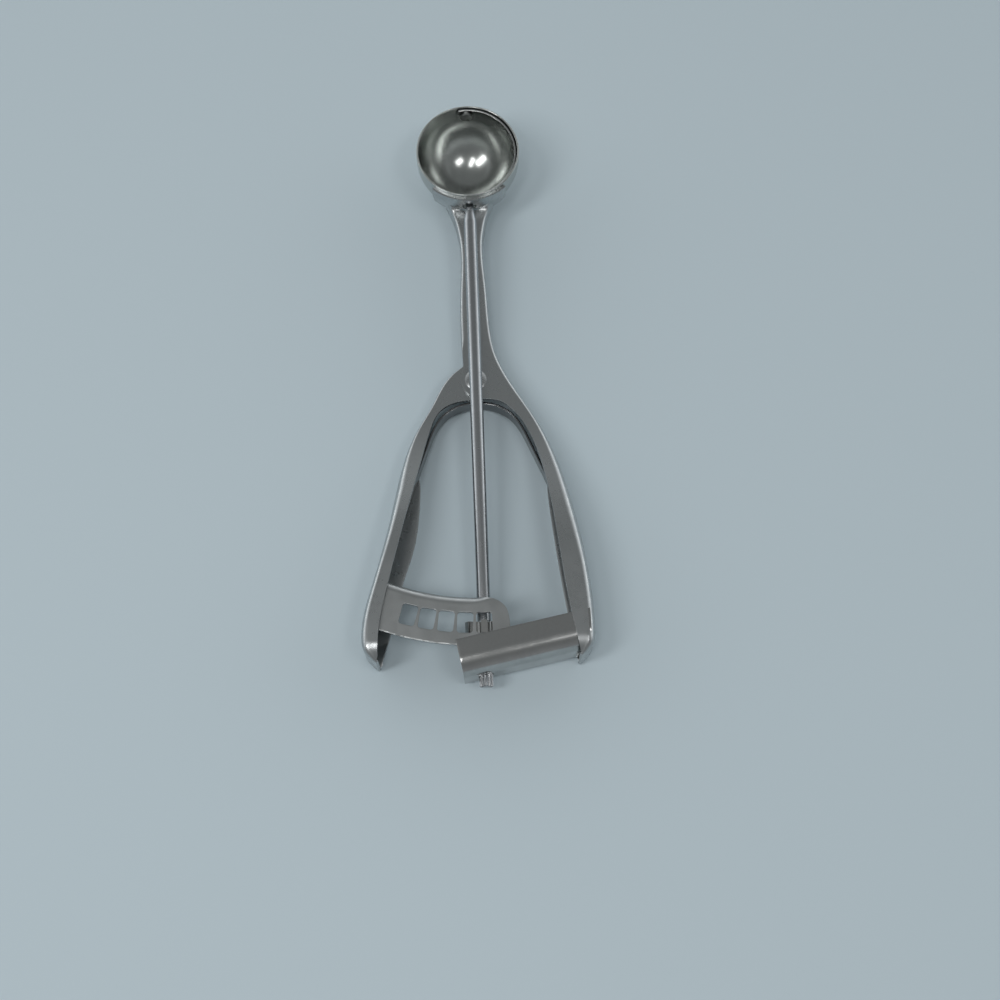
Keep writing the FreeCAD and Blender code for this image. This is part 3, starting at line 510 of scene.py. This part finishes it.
right_side = flare_side(right_wall) - [wall_radius[0], 0]
left_side = flare_side(left_edge) + [neck_radius[0], 0]
spread = np.linspace(-1, 1, columns)[None, :]
flare_x = left_side[:, :1] * (1 - spread) / 2 + right_side[:, :1] * (1 + spread) / 2
side_y = left_side[:, 1:] * (1 - spread) / 2 + right_side[:, 1:] * (1 + spread) / 2
middle_y = (bowl_spot[1] - cradle_radius) * (1 - steps[:, None]) + flare_start * steps[:, None]
flare_y = middle_y + (side_y - middle_y) * spread ** 2
gap = np.clip(np.hypot(flare_x, flare_y - bowl_spot[1]) - cradle_radius, 0, cradle_fillet)
lift = cradle_fillet - np.sqrt(cradle_fillet ** 2 - (cradle_fillet - gap) ** 2)
lift = lift * ramp(np.abs(flare_x), rod_room, fillet_span * rod_room)
flare = np.stack([flare_x, flare_y, top_height(flare_y, web_top) + lift], axis=2)
plate = np.concatenate([flare, plate])

# the walls of neck and handle; their feet rise to the cradle's hem by the cube of the nearness

skirt_end = 9.5
floor_start = 14.0
floor_round = 2.0
floor_round_end = 38
closeness = np.concatenate([(1 - steps) ** 3, np.zeros(stations)])
wall_radius = np.concatenate([np.full(flare_rows, wall_radius[0]), wall_radius])
neck_radius = np.concatenate([np.full(flare_rows, neck_radius[0]), neck_radius])
feet = foot_height(plate[:, -1, 1])
feet = feet + (skirt_end - feet) * closeness
wall_depth = plate[:, -1, 2] - feet
floor_radius = floor_round * ramp(-plate[:, -1, 1], floor_start, floor_round_end)
floor_radius = np.minimum(floor_radius, wall_radius) + least_round
downs = np.tile([0.0, 0.0, -1.0], (len(plate), 1))
main, wall_corner = channel(plate, downs, wall_radius, wall_depth, floor_radius)

# the neck's other skirt, as far as the pivot

skirted = slice(0, flare_rows + int(neck_share * stations))
outward = level_unit(plate[skirted, 0] - plate[skirted, 1])
neck_corner = plate[skirted, 0] + outward * neck_radius[skirted, None]
bend = fold_over(neck_corner, outward, downs[skirted], neck_radius[skirted], small_bend_points)
share = np.linspace(0, 1, strip_points)[None, 1:, None]
first = neck_radius[skirted, None, None]
last = wall_depth[skirted, None, None]
skirt = neck_corner[:, None, :] + downs[skirted][:, None, :] * (first + (last - first) * share)
skirt = np.concatenate([bend, skirt], axis=1)[:, ::-1]

# the cradle's own wall hugs the bowl: upright above the ball's centre, round like the ball below

cradle_top = 19.1
cradle_hem = 9.6
cradle_inside = 16.21
cradle_half_angle = math.radians(42)
cradle_columns, cradle_rows = 80, 30
hole_start, hole_stop = 12, 22
hole_radius = 2.2
lean = np.linspace(-cradle_half_angle, cradle_half_angle, cradle_columns)[None, :]
rise = np.linspace(cradle_top, cradle_hem, cradle_rows)[:, None]
hug = np.sqrt(cradle_radius ** 2 - np.minimum(rise - bowl_spot[2], 0) ** 2)
cradle = np.stack([hug * np.sin(lean), bowl_spot[1] - hug * np.cos(lean), rise + 0 * lean], axis=2)

# the floor grows out of the wall's foot behind the pivot, from a tenth of its width to all of it

floor_wide = 36
floor_first = 0.1
floored = np.flatnonzero(plate[:, -1, 1] < -floor_start)
floored = floored[floored > flare_rows]
floor_line = evenly(right_floor, len(floored))
wall_foot = wall_corner[floored][:, :2]
inward = unit(floor_line - wall_foot)
grown = floor_first + (1 - floor_first) * ramp(-wall_foot[:, 1], floor_start, floor_wide)
reach = np.linalg.norm(floor_line - wall_foot, axis=1) * grown
floor = floor_strip(wall_corner[floored], downs[floored], wall_depth[floored],
                    in_space(inward, 0.0), floor_radius[floored], reach)

handle_frame = grid_piece("scoop_frame", [main, skirt, floor], "frame", flip=True)
cradle_wall = grid_piece("cradle_wall", [cradle], "frame", flip=True)
rod_hole = bar_cutter("rod_hole", bowl_centre - rod_axis * hole_start * MM,
                      bowl_centre - rod_axis * hole_stop * MM, hole_radius)
finished(handle_frame, gauge, rim_break)
finished(cradle_wall, cradle_radius - cradle_inside, rim_break, [rod_hole])
dress(handle_frame, pressed_steel)
dress(cradle_wall, pressed_steel)
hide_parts("handle_frame")


# The squeeze lever: the left handle, the same channel with an ear that turns on the rivet.

ear_top = 8.0
ear_radius = 6.2
ear_from = math.radians(118)
ear_to = math.radians(-90)
ear_round = 0.8
lever_round = 2.0
ear_round_end = 5
lever_floor_wide = 34
ear_arc_points, ear_points = 80, 100
left_wall = curve_through([(-3.4, 5.2), (-7.8, 2.0), (-13.6, -7.5), (-19.0, -17.0), (-27.0, -46.5),
                           (-32.1, -65.0), (-35.37, -79.6), (-34.5, -84.9), (-31.2, -88.1)])
ear_turn = np.linspace(ear_from, ear_to, ear_arc_points)
ear_line = np.stack([ear_radius * np.cos(ear_turn), ear_radius * np.sin(ear_turn)], axis=1)
lever_arch = curve_through([(0.0, -6.2), (-7.6, -7.3), (-11.4, -9.8), (-14.1, -15.0), (-16.4, -22.8),
                            (-24.0, -52.0), (-27.4, -65.2), (-30.3, -79.0), (-30.8, -86.6)])
lever_free = np.concatenate([evenly(ear_line, ear_points), lever_arch[1:]])
left_floor = curve_through([(-14.8, -13.0), (-16.9, -22.0), (-17.8, -30.0), (-20.3, -50.8),
                            (-24.2, -62.8), (-28.0, -78.1), (-30.5, -86.1)])

lever_stations = 320
ear_share, lever_share = 0.12, 0.16
lever_wall_start, lever_free_start = -6.5, -6.9
lever_wall_line = between(left_wall, [(0, 0), (lever_share, point_at(left_wall, lever_wall_start)),
                                      (1, len(left_wall) - 1)], lever_stations)
lever_free_line = between(lever_free, [(0, 0), (ear_share, ear_points - 1),
                                       (lever_share, point_at(lever_free, lever_free_start, ear_points)),
                                       (1, len(lever_free) - 1)], lever_stations)
width = np.linalg.norm(lever_wall_line - lever_free_line, axis=1)
radius = ear_round + lever_round * ramp(-lever_wall_line[:, 1], ear_round_end, round_end)
radius = np.minimum(radius, round_share * width)
plate = ruled(lever_free_line, lever_wall_line, columns, ear_top, radius)
downward = np.tile([0.0, 0.0, -1.0], (lever_stations, 1))
depth = top_height(lever_wall_line[:, 1], ear_top) - foot_height(lever_wall_line[:, 1])
floor_radius = floor_round * ramp(-lever_wall_line[:, 1], floor_start, floor_round_end)
floor_radius = np.minimum(floor_radius, radius) + least_round
main, corner = channel(plate, downward, radius, depth, floor_radius)
floored = np.flatnonzero(lever_wall_line[:, 1] < -floor_start)
floor_line = evenly(left_floor, len(floored))
inward = unit(floor_line - corner[floored][:, :2])
grown = floor_first + (1 - floor_first) * ramp(-corner[floored][:, 1], floor_start, lever_floor_wide)
reach = np.linalg.norm(floor_line - corner[floored][:, :2], axis=1) * grown
floor = floor_strip(corner[floored], downward[floored], depth[floored], in_space(inward, 0.0),
                    floor_radius[floored], reach)
squeeze_lever = grid_piece("lever_handle", [main, floor], "lever")
finished(squeeze_lever, gauge, rim_break)
dress(squeeze_lever, pressed_steel)
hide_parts("squeeze_lever")


# The bowl: half a ball drawn from one disc of stainless sheet, with a short straight collar.
# It is spot-welded into the cradle; the inside is polished, so it mirrors the windows.

bowl_radius = 16.2
bowl_wall = 0.8
rim_gauge = 0.6
collar = 4.0
rim_drop = 0.5
collar_foot = 0.3
quarter_points, rim_points, collar_points = 60, 9, 8
ring_points = 193


def turned(name, profile, centre, axis, side, body):
    """A piece turned about an axis: each profile point (radius, place) goes round in a circle."""
    profile = np.asarray(profile, float)
    turn = np.linspace(0, 2 * math.pi, ring_points)
    other = np.cross(axis, side)
    ring = np.cos(turn)[:, None] * side + np.sin(turn)[:, None] * other
    spots = ring[:, None, :] * profile[None, :, :1] + np.asarray(axis) * profile[None, :, 1:]
    return grid_piece(name, [spots + (np.asarray(centre) - pivot) / MM], body, flip=True)


quarter = np.linspace(-math.pi / 2, 0, quarter_points)
rim_turn = np.linspace(0, math.pi, rim_points)
rim_middle = bowl_radius - rim_gauge / 2
inner_radius = bowl_radius - bowl_wall
bowl_profile = np.concatenate([
    np.stack([bowl_radius * np.cos(quarter), bowl_radius * np.sin(quarter)], axis=1),
    np.stack([rim_middle + rim_gauge / 2 * np.cos(rim_turn),
              collar - rim_gauge / 2 + rim_gauge / 2 * np.sin(rim_turn)], axis=1),
    np.stack([np.linspace(bowl_radius - rim_gauge, inner_radius, collar_points),
              np.linspace(collar - rim_drop, collar_foot, collar_points)], axis=1),
    np.stack([inner_radius * np.cos(quarter[::-1]), inner_radius * np.sin(quarter[::-1])], axis=1)])
bowl = turned("scoop_bowl", bowl_profile, bowl_centre, (0, 0, 1), (1, 0, 0), "frame")
finished(bowl, sharp=60)
dress(bowl, steel("bowl_steel", (0.5, 0.52, 0.505), smooth=0.17, dull=0.24, line_depth=0.06))
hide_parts("bowl")


# The wiper blade: a thin spring-steel band on the inside of the bowl, with a round end at the
# rod and another at the pin in the far wall; it is riveted on the rod's end and turns with it.

blade_outside = 15.0
blade_gauge = 0.5
blade_half = 3.0
blade_end = 3.1
blade_break = 0.08
end_power = 3
end_limit = 0.995
blade_columns, blade_rows = 200, 25

# past the half circle the half width falls as the cube root of one less the cube of the way

half_turn = math.pi / 2 + blade_end / blade_outside
along = np.linspace(-half_turn, half_turn, blade_columns)
past = np.maximum(np.abs(along) - math.pi / 2, 0) * blade_outside / blade_end
half = blade_half * (1 - np.clip(past, 0, end_limit) ** end_power) ** (1 / end_power)
height = np.linspace(1, -1, blade_rows)[None, :] * half[:, None]
inside = np.sqrt(blade_outside ** 2 - height ** 2)
blade_grid = ((inside * np.cos(along)[:, None])[..., None] * rod_side
              + (inside * np.sin(along)[:, None])[..., None] * rod_axis
              + height[..., None] * rod_up + bowl_spot)
wiper_blade = grid_piece("wiper_band", [blade_grid], "shaft", flip=True)
finished(wiper_blade, blade_gauge, blade_break)
dress(wiper_blade, steel("blade_steel", (0.52, 0.53, 0.525), smooth=0.2, dull=0.3, line_depth=0.1))
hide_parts("wiper_blade")


# The drive rod: 4 mm bar, ground bright, turned down to a journal where it enters the bowl.
# Its free end is splined where the pinion was pressed on, and stands out of the cover.

rod_radius = 2.0
journal = 1.1
rod_head = 1.7
rod_inner = 14.55
rod_shoulder = 17.5
rod_taper = 4.6
rod_length = 168.75
spline_length = 4.6
spline_count = 13
spline_depth = 0.34
spline_start = 0.2
spline_full = 0.8
ridge_power = 0.7
head_length = 0.5
head_chamfer = 0.2
journal_step = 0.05
tail_chamfer = 0.35
row_gap = 0.5
spline_row_gap = 0.1
run_rows = 40
rod_points = 157

# the profile gives the rod's radius over the way from the bowl's centre; its splined end is cut
# in by a rounded cosine of the turn

taper_end = rod_shoulder + rod_taper
spline_root = rod_length - spline_length
rod_profile = np.array([(0, rod_inner - head_length), (rod_head - head_chamfer, rod_inner - head_length),
                        (rod_head, rod_inner - head_length + head_chamfer), (rod_head, rod_inner),
                        (journal, rod_inner + journal_step), (journal, rod_shoulder),
                        (rod_radius, taper_end)])
rod_run = np.concatenate([np.linspace(taper_end + row_gap, spline_root, run_rows),
                          np.linspace(spline_root + spline_row_gap, rod_length - tail_chamfer, run_rows)])
rod_profile = np.concatenate([rod_profile,
                              np.stack([np.full(2 * run_rows, rod_radius), rod_run], axis=1),
                              [(rod_radius - tail_chamfer, rod_length), (0, rod_length)]])
turn = np.linspace(0, 2 * math.pi, rod_points)
ridges = 0.5 - 0.5 * np.cos(turn * spline_count)
cut_in = spline_depth * ramp(rod_profile[:, 1], spline_root + spline_start, spline_root + spline_full)
cut_in = cut_in * (rod_profile[:, 0] > 0)
radii = rod_profile[None, :, 0] - cut_in[None, :] * (ridges[:, None] ** ridge_power)
ring = np.cos(turn)[:, None] * rod_side + np.sin(turn)[:, None] * rod_up
rod_grid = ring[:, None, :] * radii[..., None] - rod_axis * rod_profile[None, :, 1:] + bowl_spot
drive_rod = grid_piece("rod", [rod_grid], "shaft", flip=True)
finished(drive_rod, sharp=35)
dress(drive_rod, steel("rod_steel", (0.46, 0.475, 0.49), smooth=0.22, dull=0.28, line_depth=0.1))
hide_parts("drive_rod")


# The gear cover: a strip of sheet folded over in front of the gears, spot-welded inside the
# right handle; its cut left end is open and shows the gauge of the sheet.

cover_turn = math.radians(11.5)
cover_front = 90.7
cover_depth = 9.6
cover_top = 14.48
cover_foot = 2.6
cover_fold = 4.4
cover_left = 6.6
wall_gap = 1.25
cover_break = 0.15
bore_start = 150
bore_stop = 175
bore_radius = 2.3
top_points, fold_points, front_points, cover_columns = 12, 20, 14, 60
fold_turn = np.linspace(0, math.pi / 2, fold_points)
cover_profile = np.concatenate([
    np.stack([np.linspace(cover_depth, cover_fold, top_points, endpoint=False),
              np.full(top_points, cover_top)], axis=1),
    np.stack([cover_fold * (1 - np.sin(fold_turn)),
              cover_top - cover_fold * (1 - np.cos(fold_turn))], axis=1),
    np.stack([np.zeros(front_points),
              np.linspace(cover_top - cover_fold, cover_foot, front_points + 1)[1:]], axis=1)])
along_cover = np.array([math.cos(cover_turn), math.sin(cover_turn)])
deep = np.array([-math.sin(cover_turn), math.cos(cover_turn)])
start = np.array([0.0, -cover_front]) - along_cover * cover_left + cover_profile[:, :1] * deep

# each line of the fold is as long as it takes to reach the handle's wall, found in a few rounds

length_guess = 38.0
rounds = 6
right_order = np.argsort(right_wall[:, 1])
length = np.full(len(start), length_guess)
for _ in range(rounds):
    y = start[:, 1] + along_cover[1] * length
    wall_x = np.interp(y, right_wall[right_order, 1], right_wall[right_order, 0]) - wall_gap
    length = (wall_x - start[:, 0]) / along_cover[0]
share = np.linspace(0, 1, cover_columns)[:, None, None]
cover_plan = start[None] + along_cover * length[None, :, None] * share
cover_rise = np.broadcast_to(cover_profile[None, :, 1:], (cover_columns, len(start), 1))
cover_grid = np.concatenate([cover_plan, cover_rise], axis=2)
gear_cover = grid_piece("cover_bracket", [cover_grid], "frame", flip=True)
rod_bore = bar_cutter("rod_bore", bowl_centre - rod_axis * bore_start * MM,
                      bowl_centre - rod_axis * bore_stop * MM, bore_radius)
finished(gear_cover, gauge, cover_break, [rod_bore])
dress(gear_cover, steel("bracket_steel", (0.5, 0.505, 0.5), smooth=0.17, dull=0.25, line_depth=0.2,
                        turn=cover_turn + math.pi / 2))
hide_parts("gear_cover")


# The rack: a curved plate welded to the lever's wall, pierced with five windows that the
# pinion's teeth step through; the edge towards the pivot is rolled down to stiffen it.

rack_radius = 77.65
rack_inner = 70.7
rack_outer = 84.3
rack_top = 13.28
rack_gauge = 1.0
rack_break = 0.24
rack_corner = 5.5
rack_tip = math.radians(5.4)
rack_gap = 0.15
rack_rows, rack_columns, lip_columns = 140, 30, 14
middle_radius = (rack_inner + rack_outer) / 2
rack_half = (rack_outer - rack_inner) / 2

# each line along the rack starts at the lever's wall, at an angle found in a few rounds

angle_guess = math.radians(-25)
left_order = np.argsort(left_wall[:, 1])
across = np.concatenate([np.linspace(1, -1, rack_columns), np.full(lip_columns, -1.0)])
lip_turn = np.concatenate([np.zeros(rack_columns), np.linspace(0, 1, lip_columns + 1)[1:]])
radial = middle_radius + across * rack_half
root_angle = np.full(len(across), angle_guess)
for _ in range(rounds):
    y = -radial * np.cos(root_angle)
    wall_x = np.interp(y, left_wall[left_order, 1], left_wall[left_order, 0]) + gauge + rack_gap
    root_angle = np.arcsin(wall_x / radial)
tip_run = np.linspace(0, 1, rack_rows)[:, None]
angles = root_angle[None, :] + (rack_tip - root_angle[None, :]) * tip_run
to_tip = (rack_tip - angles) * middle_radius
in_corner = np.maximum(rack_corner - to_tip, 0)
round_off = rack_corner - np.sqrt(np.maximum(rack_corner ** 2 - in_corner ** 2, 0))
half_width = rack_half - round_off

# the lip is a round bend and then a straight strip; towards the tip it folds less and gets shorter

rack_roll = 1.5
rack_lip = 2.4
lip_least = 0.2
lip_fade_start, lip_fade_end = 2.0, 13.0
roll_share = 0.62
bend_rate = 1.6
strip_start = 0.62
fold = ramp(to_tip, lip_fade_start, lip_fade_end)
lip_depth = lip_least + (rack_lip - lip_least) * fold
roll = np.minimum(rack_roll, lip_depth * roll_share)
straight = lip_depth - roll
full_bend = fold * math.pi / 2
lip_bend = np.clip(lip_turn * bend_rate, 0, 1)[None, :] * full_bend
along_strip = np.clip((lip_turn - strip_start) / (1 - strip_start), 0, 1)[None, :]
lip_reach = roll * np.sin(full_bend) + straight * np.cos(full_bend)
used = roll * np.sin(lip_bend) + straight * np.cos(full_bend) * along_strip
on_plate = lip_reach * np.maximum(-across[None, :], 0)
inner_pull = np.where(lip_turn[None, :] > 0, lip_reach - used, on_plate)
rack_rho = middle_radius + across[None, :] * half_width + inner_pull
rack_drop = roll * (1 - np.cos(lip_bend)) + straight * np.sin(full_bend) * along_strip
rack_grid = np.stack([rack_rho * np.sin(angles), -rack_rho * np.cos(angles),
                      rack_top - rack_drop * (lip_turn[None, :] > 0)], axis=2)
rack_plate = grid_piece("rack_sheet", [rack_grid], "lever")

# one window for each tooth of the pinion that passes

tooth_count = 6
pinion_radius = 5.25
window_count = 5
window_long = 6.1
window_wide = 4.7
window_corner = 0.9
window_low, window_high = 9.0, 17.0
window_step = math.radians(360 / tooth_count * pinion_radius / rack_radius)


def window_cutter(number, points=40):
    """A closed block with round corners, as large as one window, at its place in the rack.

    Its place is that many window steps round the pivot from the rod's line.
    """
    turn = np.linspace(0, 2 * math.pi, points, endpoint=False)
    side = np.stack([np.cos(turn), np.sin(turn)], axis=1)
    flat = np.sign(side) * [window_wide / 2 - window_corner, window_long / 2 - window_corner]
    plan = flat + side * window_corner + [0, -rack_radius]
    angle = -number * window_step
    spin = np.array([[math.cos(angle), -math.sin(angle)], [math.sin(angle), math.cos(angle)]])
    plan = plan @ spin.T
    rings = np.concatenate([in_space(plan, window_low), in_space(plan, window_high)])
    around = np.arange(points)
    ahead = (around + 1) % points
    sides = np.stack([around, ahead, ahead + points, around + points], axis=1)
    ends = [around[::-1].tolist(), (around + points).tolist()]
    mesh = bpy.data.meshes.new("window")
    mesh.from_pydata((rings * MM + pivot).tolist(), [], sides.tolist() + ends)
    cutter = bpy.data.objects.new("window", mesh)
    bpy.context.scene.collection.objects.link(cutter)
    return cutter


windows = [window_cutter(number) for number in range(window_count)]
finished(rack_plate, rack_gauge, rack_break, windows)
dress(rack_plate, steel("rack_steel", (0.44, 0.455, 0.455), smooth=0.28, dull=0.42, line_depth=0.4,
                        turn=math.pi / 2))
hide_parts("rack_plate")


# The return spring: a strip of spring steel set on edge, bent to an arch behind the pivot,
# with a leg inside each handle. Its dark tone is painted shade where the strip lies in shadow.

spring_low, spring_high = 1.3, 6.7
spring_gauge = 0.7
spring_break = 0.12
spring_points, spring_rows = 260, 9
spring_line = curve_through([(-29.9, -62.0), (-22.3, -40.0), (-15.2, -20.5), (-9.8, -10.6), (0, -7.0),
                             (9.8, -10.4), (15.4, -20.0), (23.3, -40.0), (28.5, -62.0)], spring_points)
spring_rise = np.linspace(spring_low, spring_high, spring_rows)
spring_plan = np.broadcast_to(spring_line[:, None, :], (spring_points, spring_rows, 2))
spring_height = np.broadcast_to(spring_rise[None, :, None], (spring_points, spring_rows, 1))
spring_grid = np.concatenate([spring_plan, spring_height], axis=2)
return_spring = grid_piece("arch_spring", [spring_grid], "frame", flip=True)
finished(return_spring, spring_gauge, spring_break)
# the low tone here is painted shade, not the steel's own colour
dress(return_spring, steel("spring_steel", (0.22, 0.225, 0.23), smooth=0.12, dull=0.22, line_depth=0.1))
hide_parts("return_spring")
return_spring.parent = None
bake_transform(return_spring)


# The small turned parts: the pinion on the rod, the rivet and its washer at the pivot, and
# the pin that carries the blade's far end. They are bright-turned, and stay as modelled.

for node, tone, smooth, dull in (("pinion_gear", (0.56, 0.56, 0.55), 0.13, 0.22),
                                 ("wiper_pin", (0.5, 0.51, 0.5), 0.25, 0.34),
                                 ("pivot_rivet", (0.46, 0.475, 0.48), 0.22, 0.32),
                                 ("pivot_washer", (0.46, 0.47, 0.47), 0.3, 0.4)):
    dress(frame["nodes"][node], steel(f"{node}_steel", tone, smooth, dull, line_depth=0.1))


# The table: a plain pale blue-grey top, matt, wide enough to fill the view.

table_tone = (0.6, 0.70, 0.75)
table_half = 2.0
table_mesh = bpy.data.meshes.new("table")
table_mesh.from_pydata([(-table_half, -table_half, 0), (table_half, -table_half, 0),
                        (table_half, table_half, 0), (-table_half, table_half, 0)],
                       [], [(0, 1, 2, 3)])
table = bpy.data.objects.new("table", table_mesh)
bpy.context.scene.collection.objects.link(table)
table_paint = bpy.data.materials.new("table_paint")
table_paint.use_nodes = True
table_shader = table_paint.node_tree.nodes["Principled BSDF"]
table_shader.inputs["Base Color"].default_value = (*table_tone, 1)
table_shader.inputs["Roughness"].default_value = 0.75
table_shader.inputs["Specular IOR Level"].default_value = 0.2
table_mesh.materials.append(table_paint)


# The light of a room by day: two tall panes on the left, a smaller window on the right, a dim
# ceiling, and walls that are brighter past the bowl. Beyond the table's edge the camera sees the
# table's own tone.

window_distance = 1.2
wall_tone = (0.3, 0.31, 0.32)
far_wall_tone = (1.5, 1.55, 1.58)
ceiling_tone = (0.2, 0.21, 0.212)


def window_light(name, way, width, height, radiance):
    """A rectangular lamp at the windows' distance in one direction, facing the bowl.

    Its power is its radiance times pi times its area.
    """
    data = bpy.data.lights.new(name, "AREA")
    data.shape = "RECTANGLE"
    data.size = width
    data.size_y = height
    data.energy = radiance * math.pi * width * height
    lamp = bpy.data.objects.new(name, data)
    way = Vector(way).normalized()
    place = Vector(bowl_centre) + way * window_distance
    facing = (-way).to_track_quat("-Z", "Y").to_matrix().to_4x4()
    lamp.matrix_world = Matrix.Translation(place) @ facing
    bpy.context.scene.collection.objects.link(lamp)


window_light("window_pane_left", way=(-0.53, -0.3, 0.8), width=0.21, height=0.52, radiance=7.5)
window_light("window_pane_middle", way=(-0.16, -0.32, 0.94), width=0.13, height=0.42, radiance=6.2)
window_light("window_right", way=(0.356, -0.33, 0.88), width=0.34, height=0.2, radiance=5.0)

world = bpy.data.worlds.new("room")
world.use_nodes = True
tree = world.node_tree
room = tree.nodes["Background"]
direction = tree.nodes.new("ShaderNodeTexCoord")
split = tree.nodes.new("ShaderNodeSeparateXYZ")
level = tree.nodes.new("ShaderNodeMapRange")
level.inputs["From Min"].default_value = 0.1
level.inputs["From Max"].default_value = 0.75
shade = tree.nodes.new("ShaderNodeMix")
shade.data_type = "RGBA"
shade.inputs[7].default_value = (*ceiling_tone, 1)
front = tree.nodes.new("ShaderNodeMapRange")
front.inputs["From Min"].default_value = -0.35
front.inputs["From Max"].default_value = 0.15
walls = tree.nodes.new("ShaderNodeMix")
walls.data_type = "RGBA"
walls.inputs[6].default_value = (*wall_tone, 1)
walls.inputs[7].default_value = (*far_wall_tone, 1)
tree.links.new(direction.outputs["Generated"], split.inputs["Vector"])
tree.links.new(split.outputs["Y"], front.inputs["Value"])
tree.links.new(front.outputs["Result"], walls.inputs[0])
tree.links.new(walls.outputs[2], shade.inputs[6])
tree.links.new(split.outputs["Z"], level.inputs["Value"])
tree.links.new(level.outputs["Result"], shade.inputs[0])
tree.links.new(shade.outputs[2], room.inputs["Color"])
backdrop = tree.nodes.new("ShaderNodeBackground")
backdrop.inputs["Color"].default_value = (*table_tone, 1)
seen = tree.nodes.new("ShaderNodeLightPath")
choose = tree.nodes.new("ShaderNodeMixShader")
tree.links.new(seen.outputs["Is Camera Ray"], choose.inputs[0])
tree.links.new(room.outputs["Background"], choose.inputs[1])
tree.links.new(backdrop.outputs["Background"], choose.inputs[2])
tree.links.new(choose.outputs["Shader"], tree.nodes["World Output"].inputs["Surface"])
bpy.context.scene.world = world
bpy.context.scene.view_settings.view_transform = "Standard"
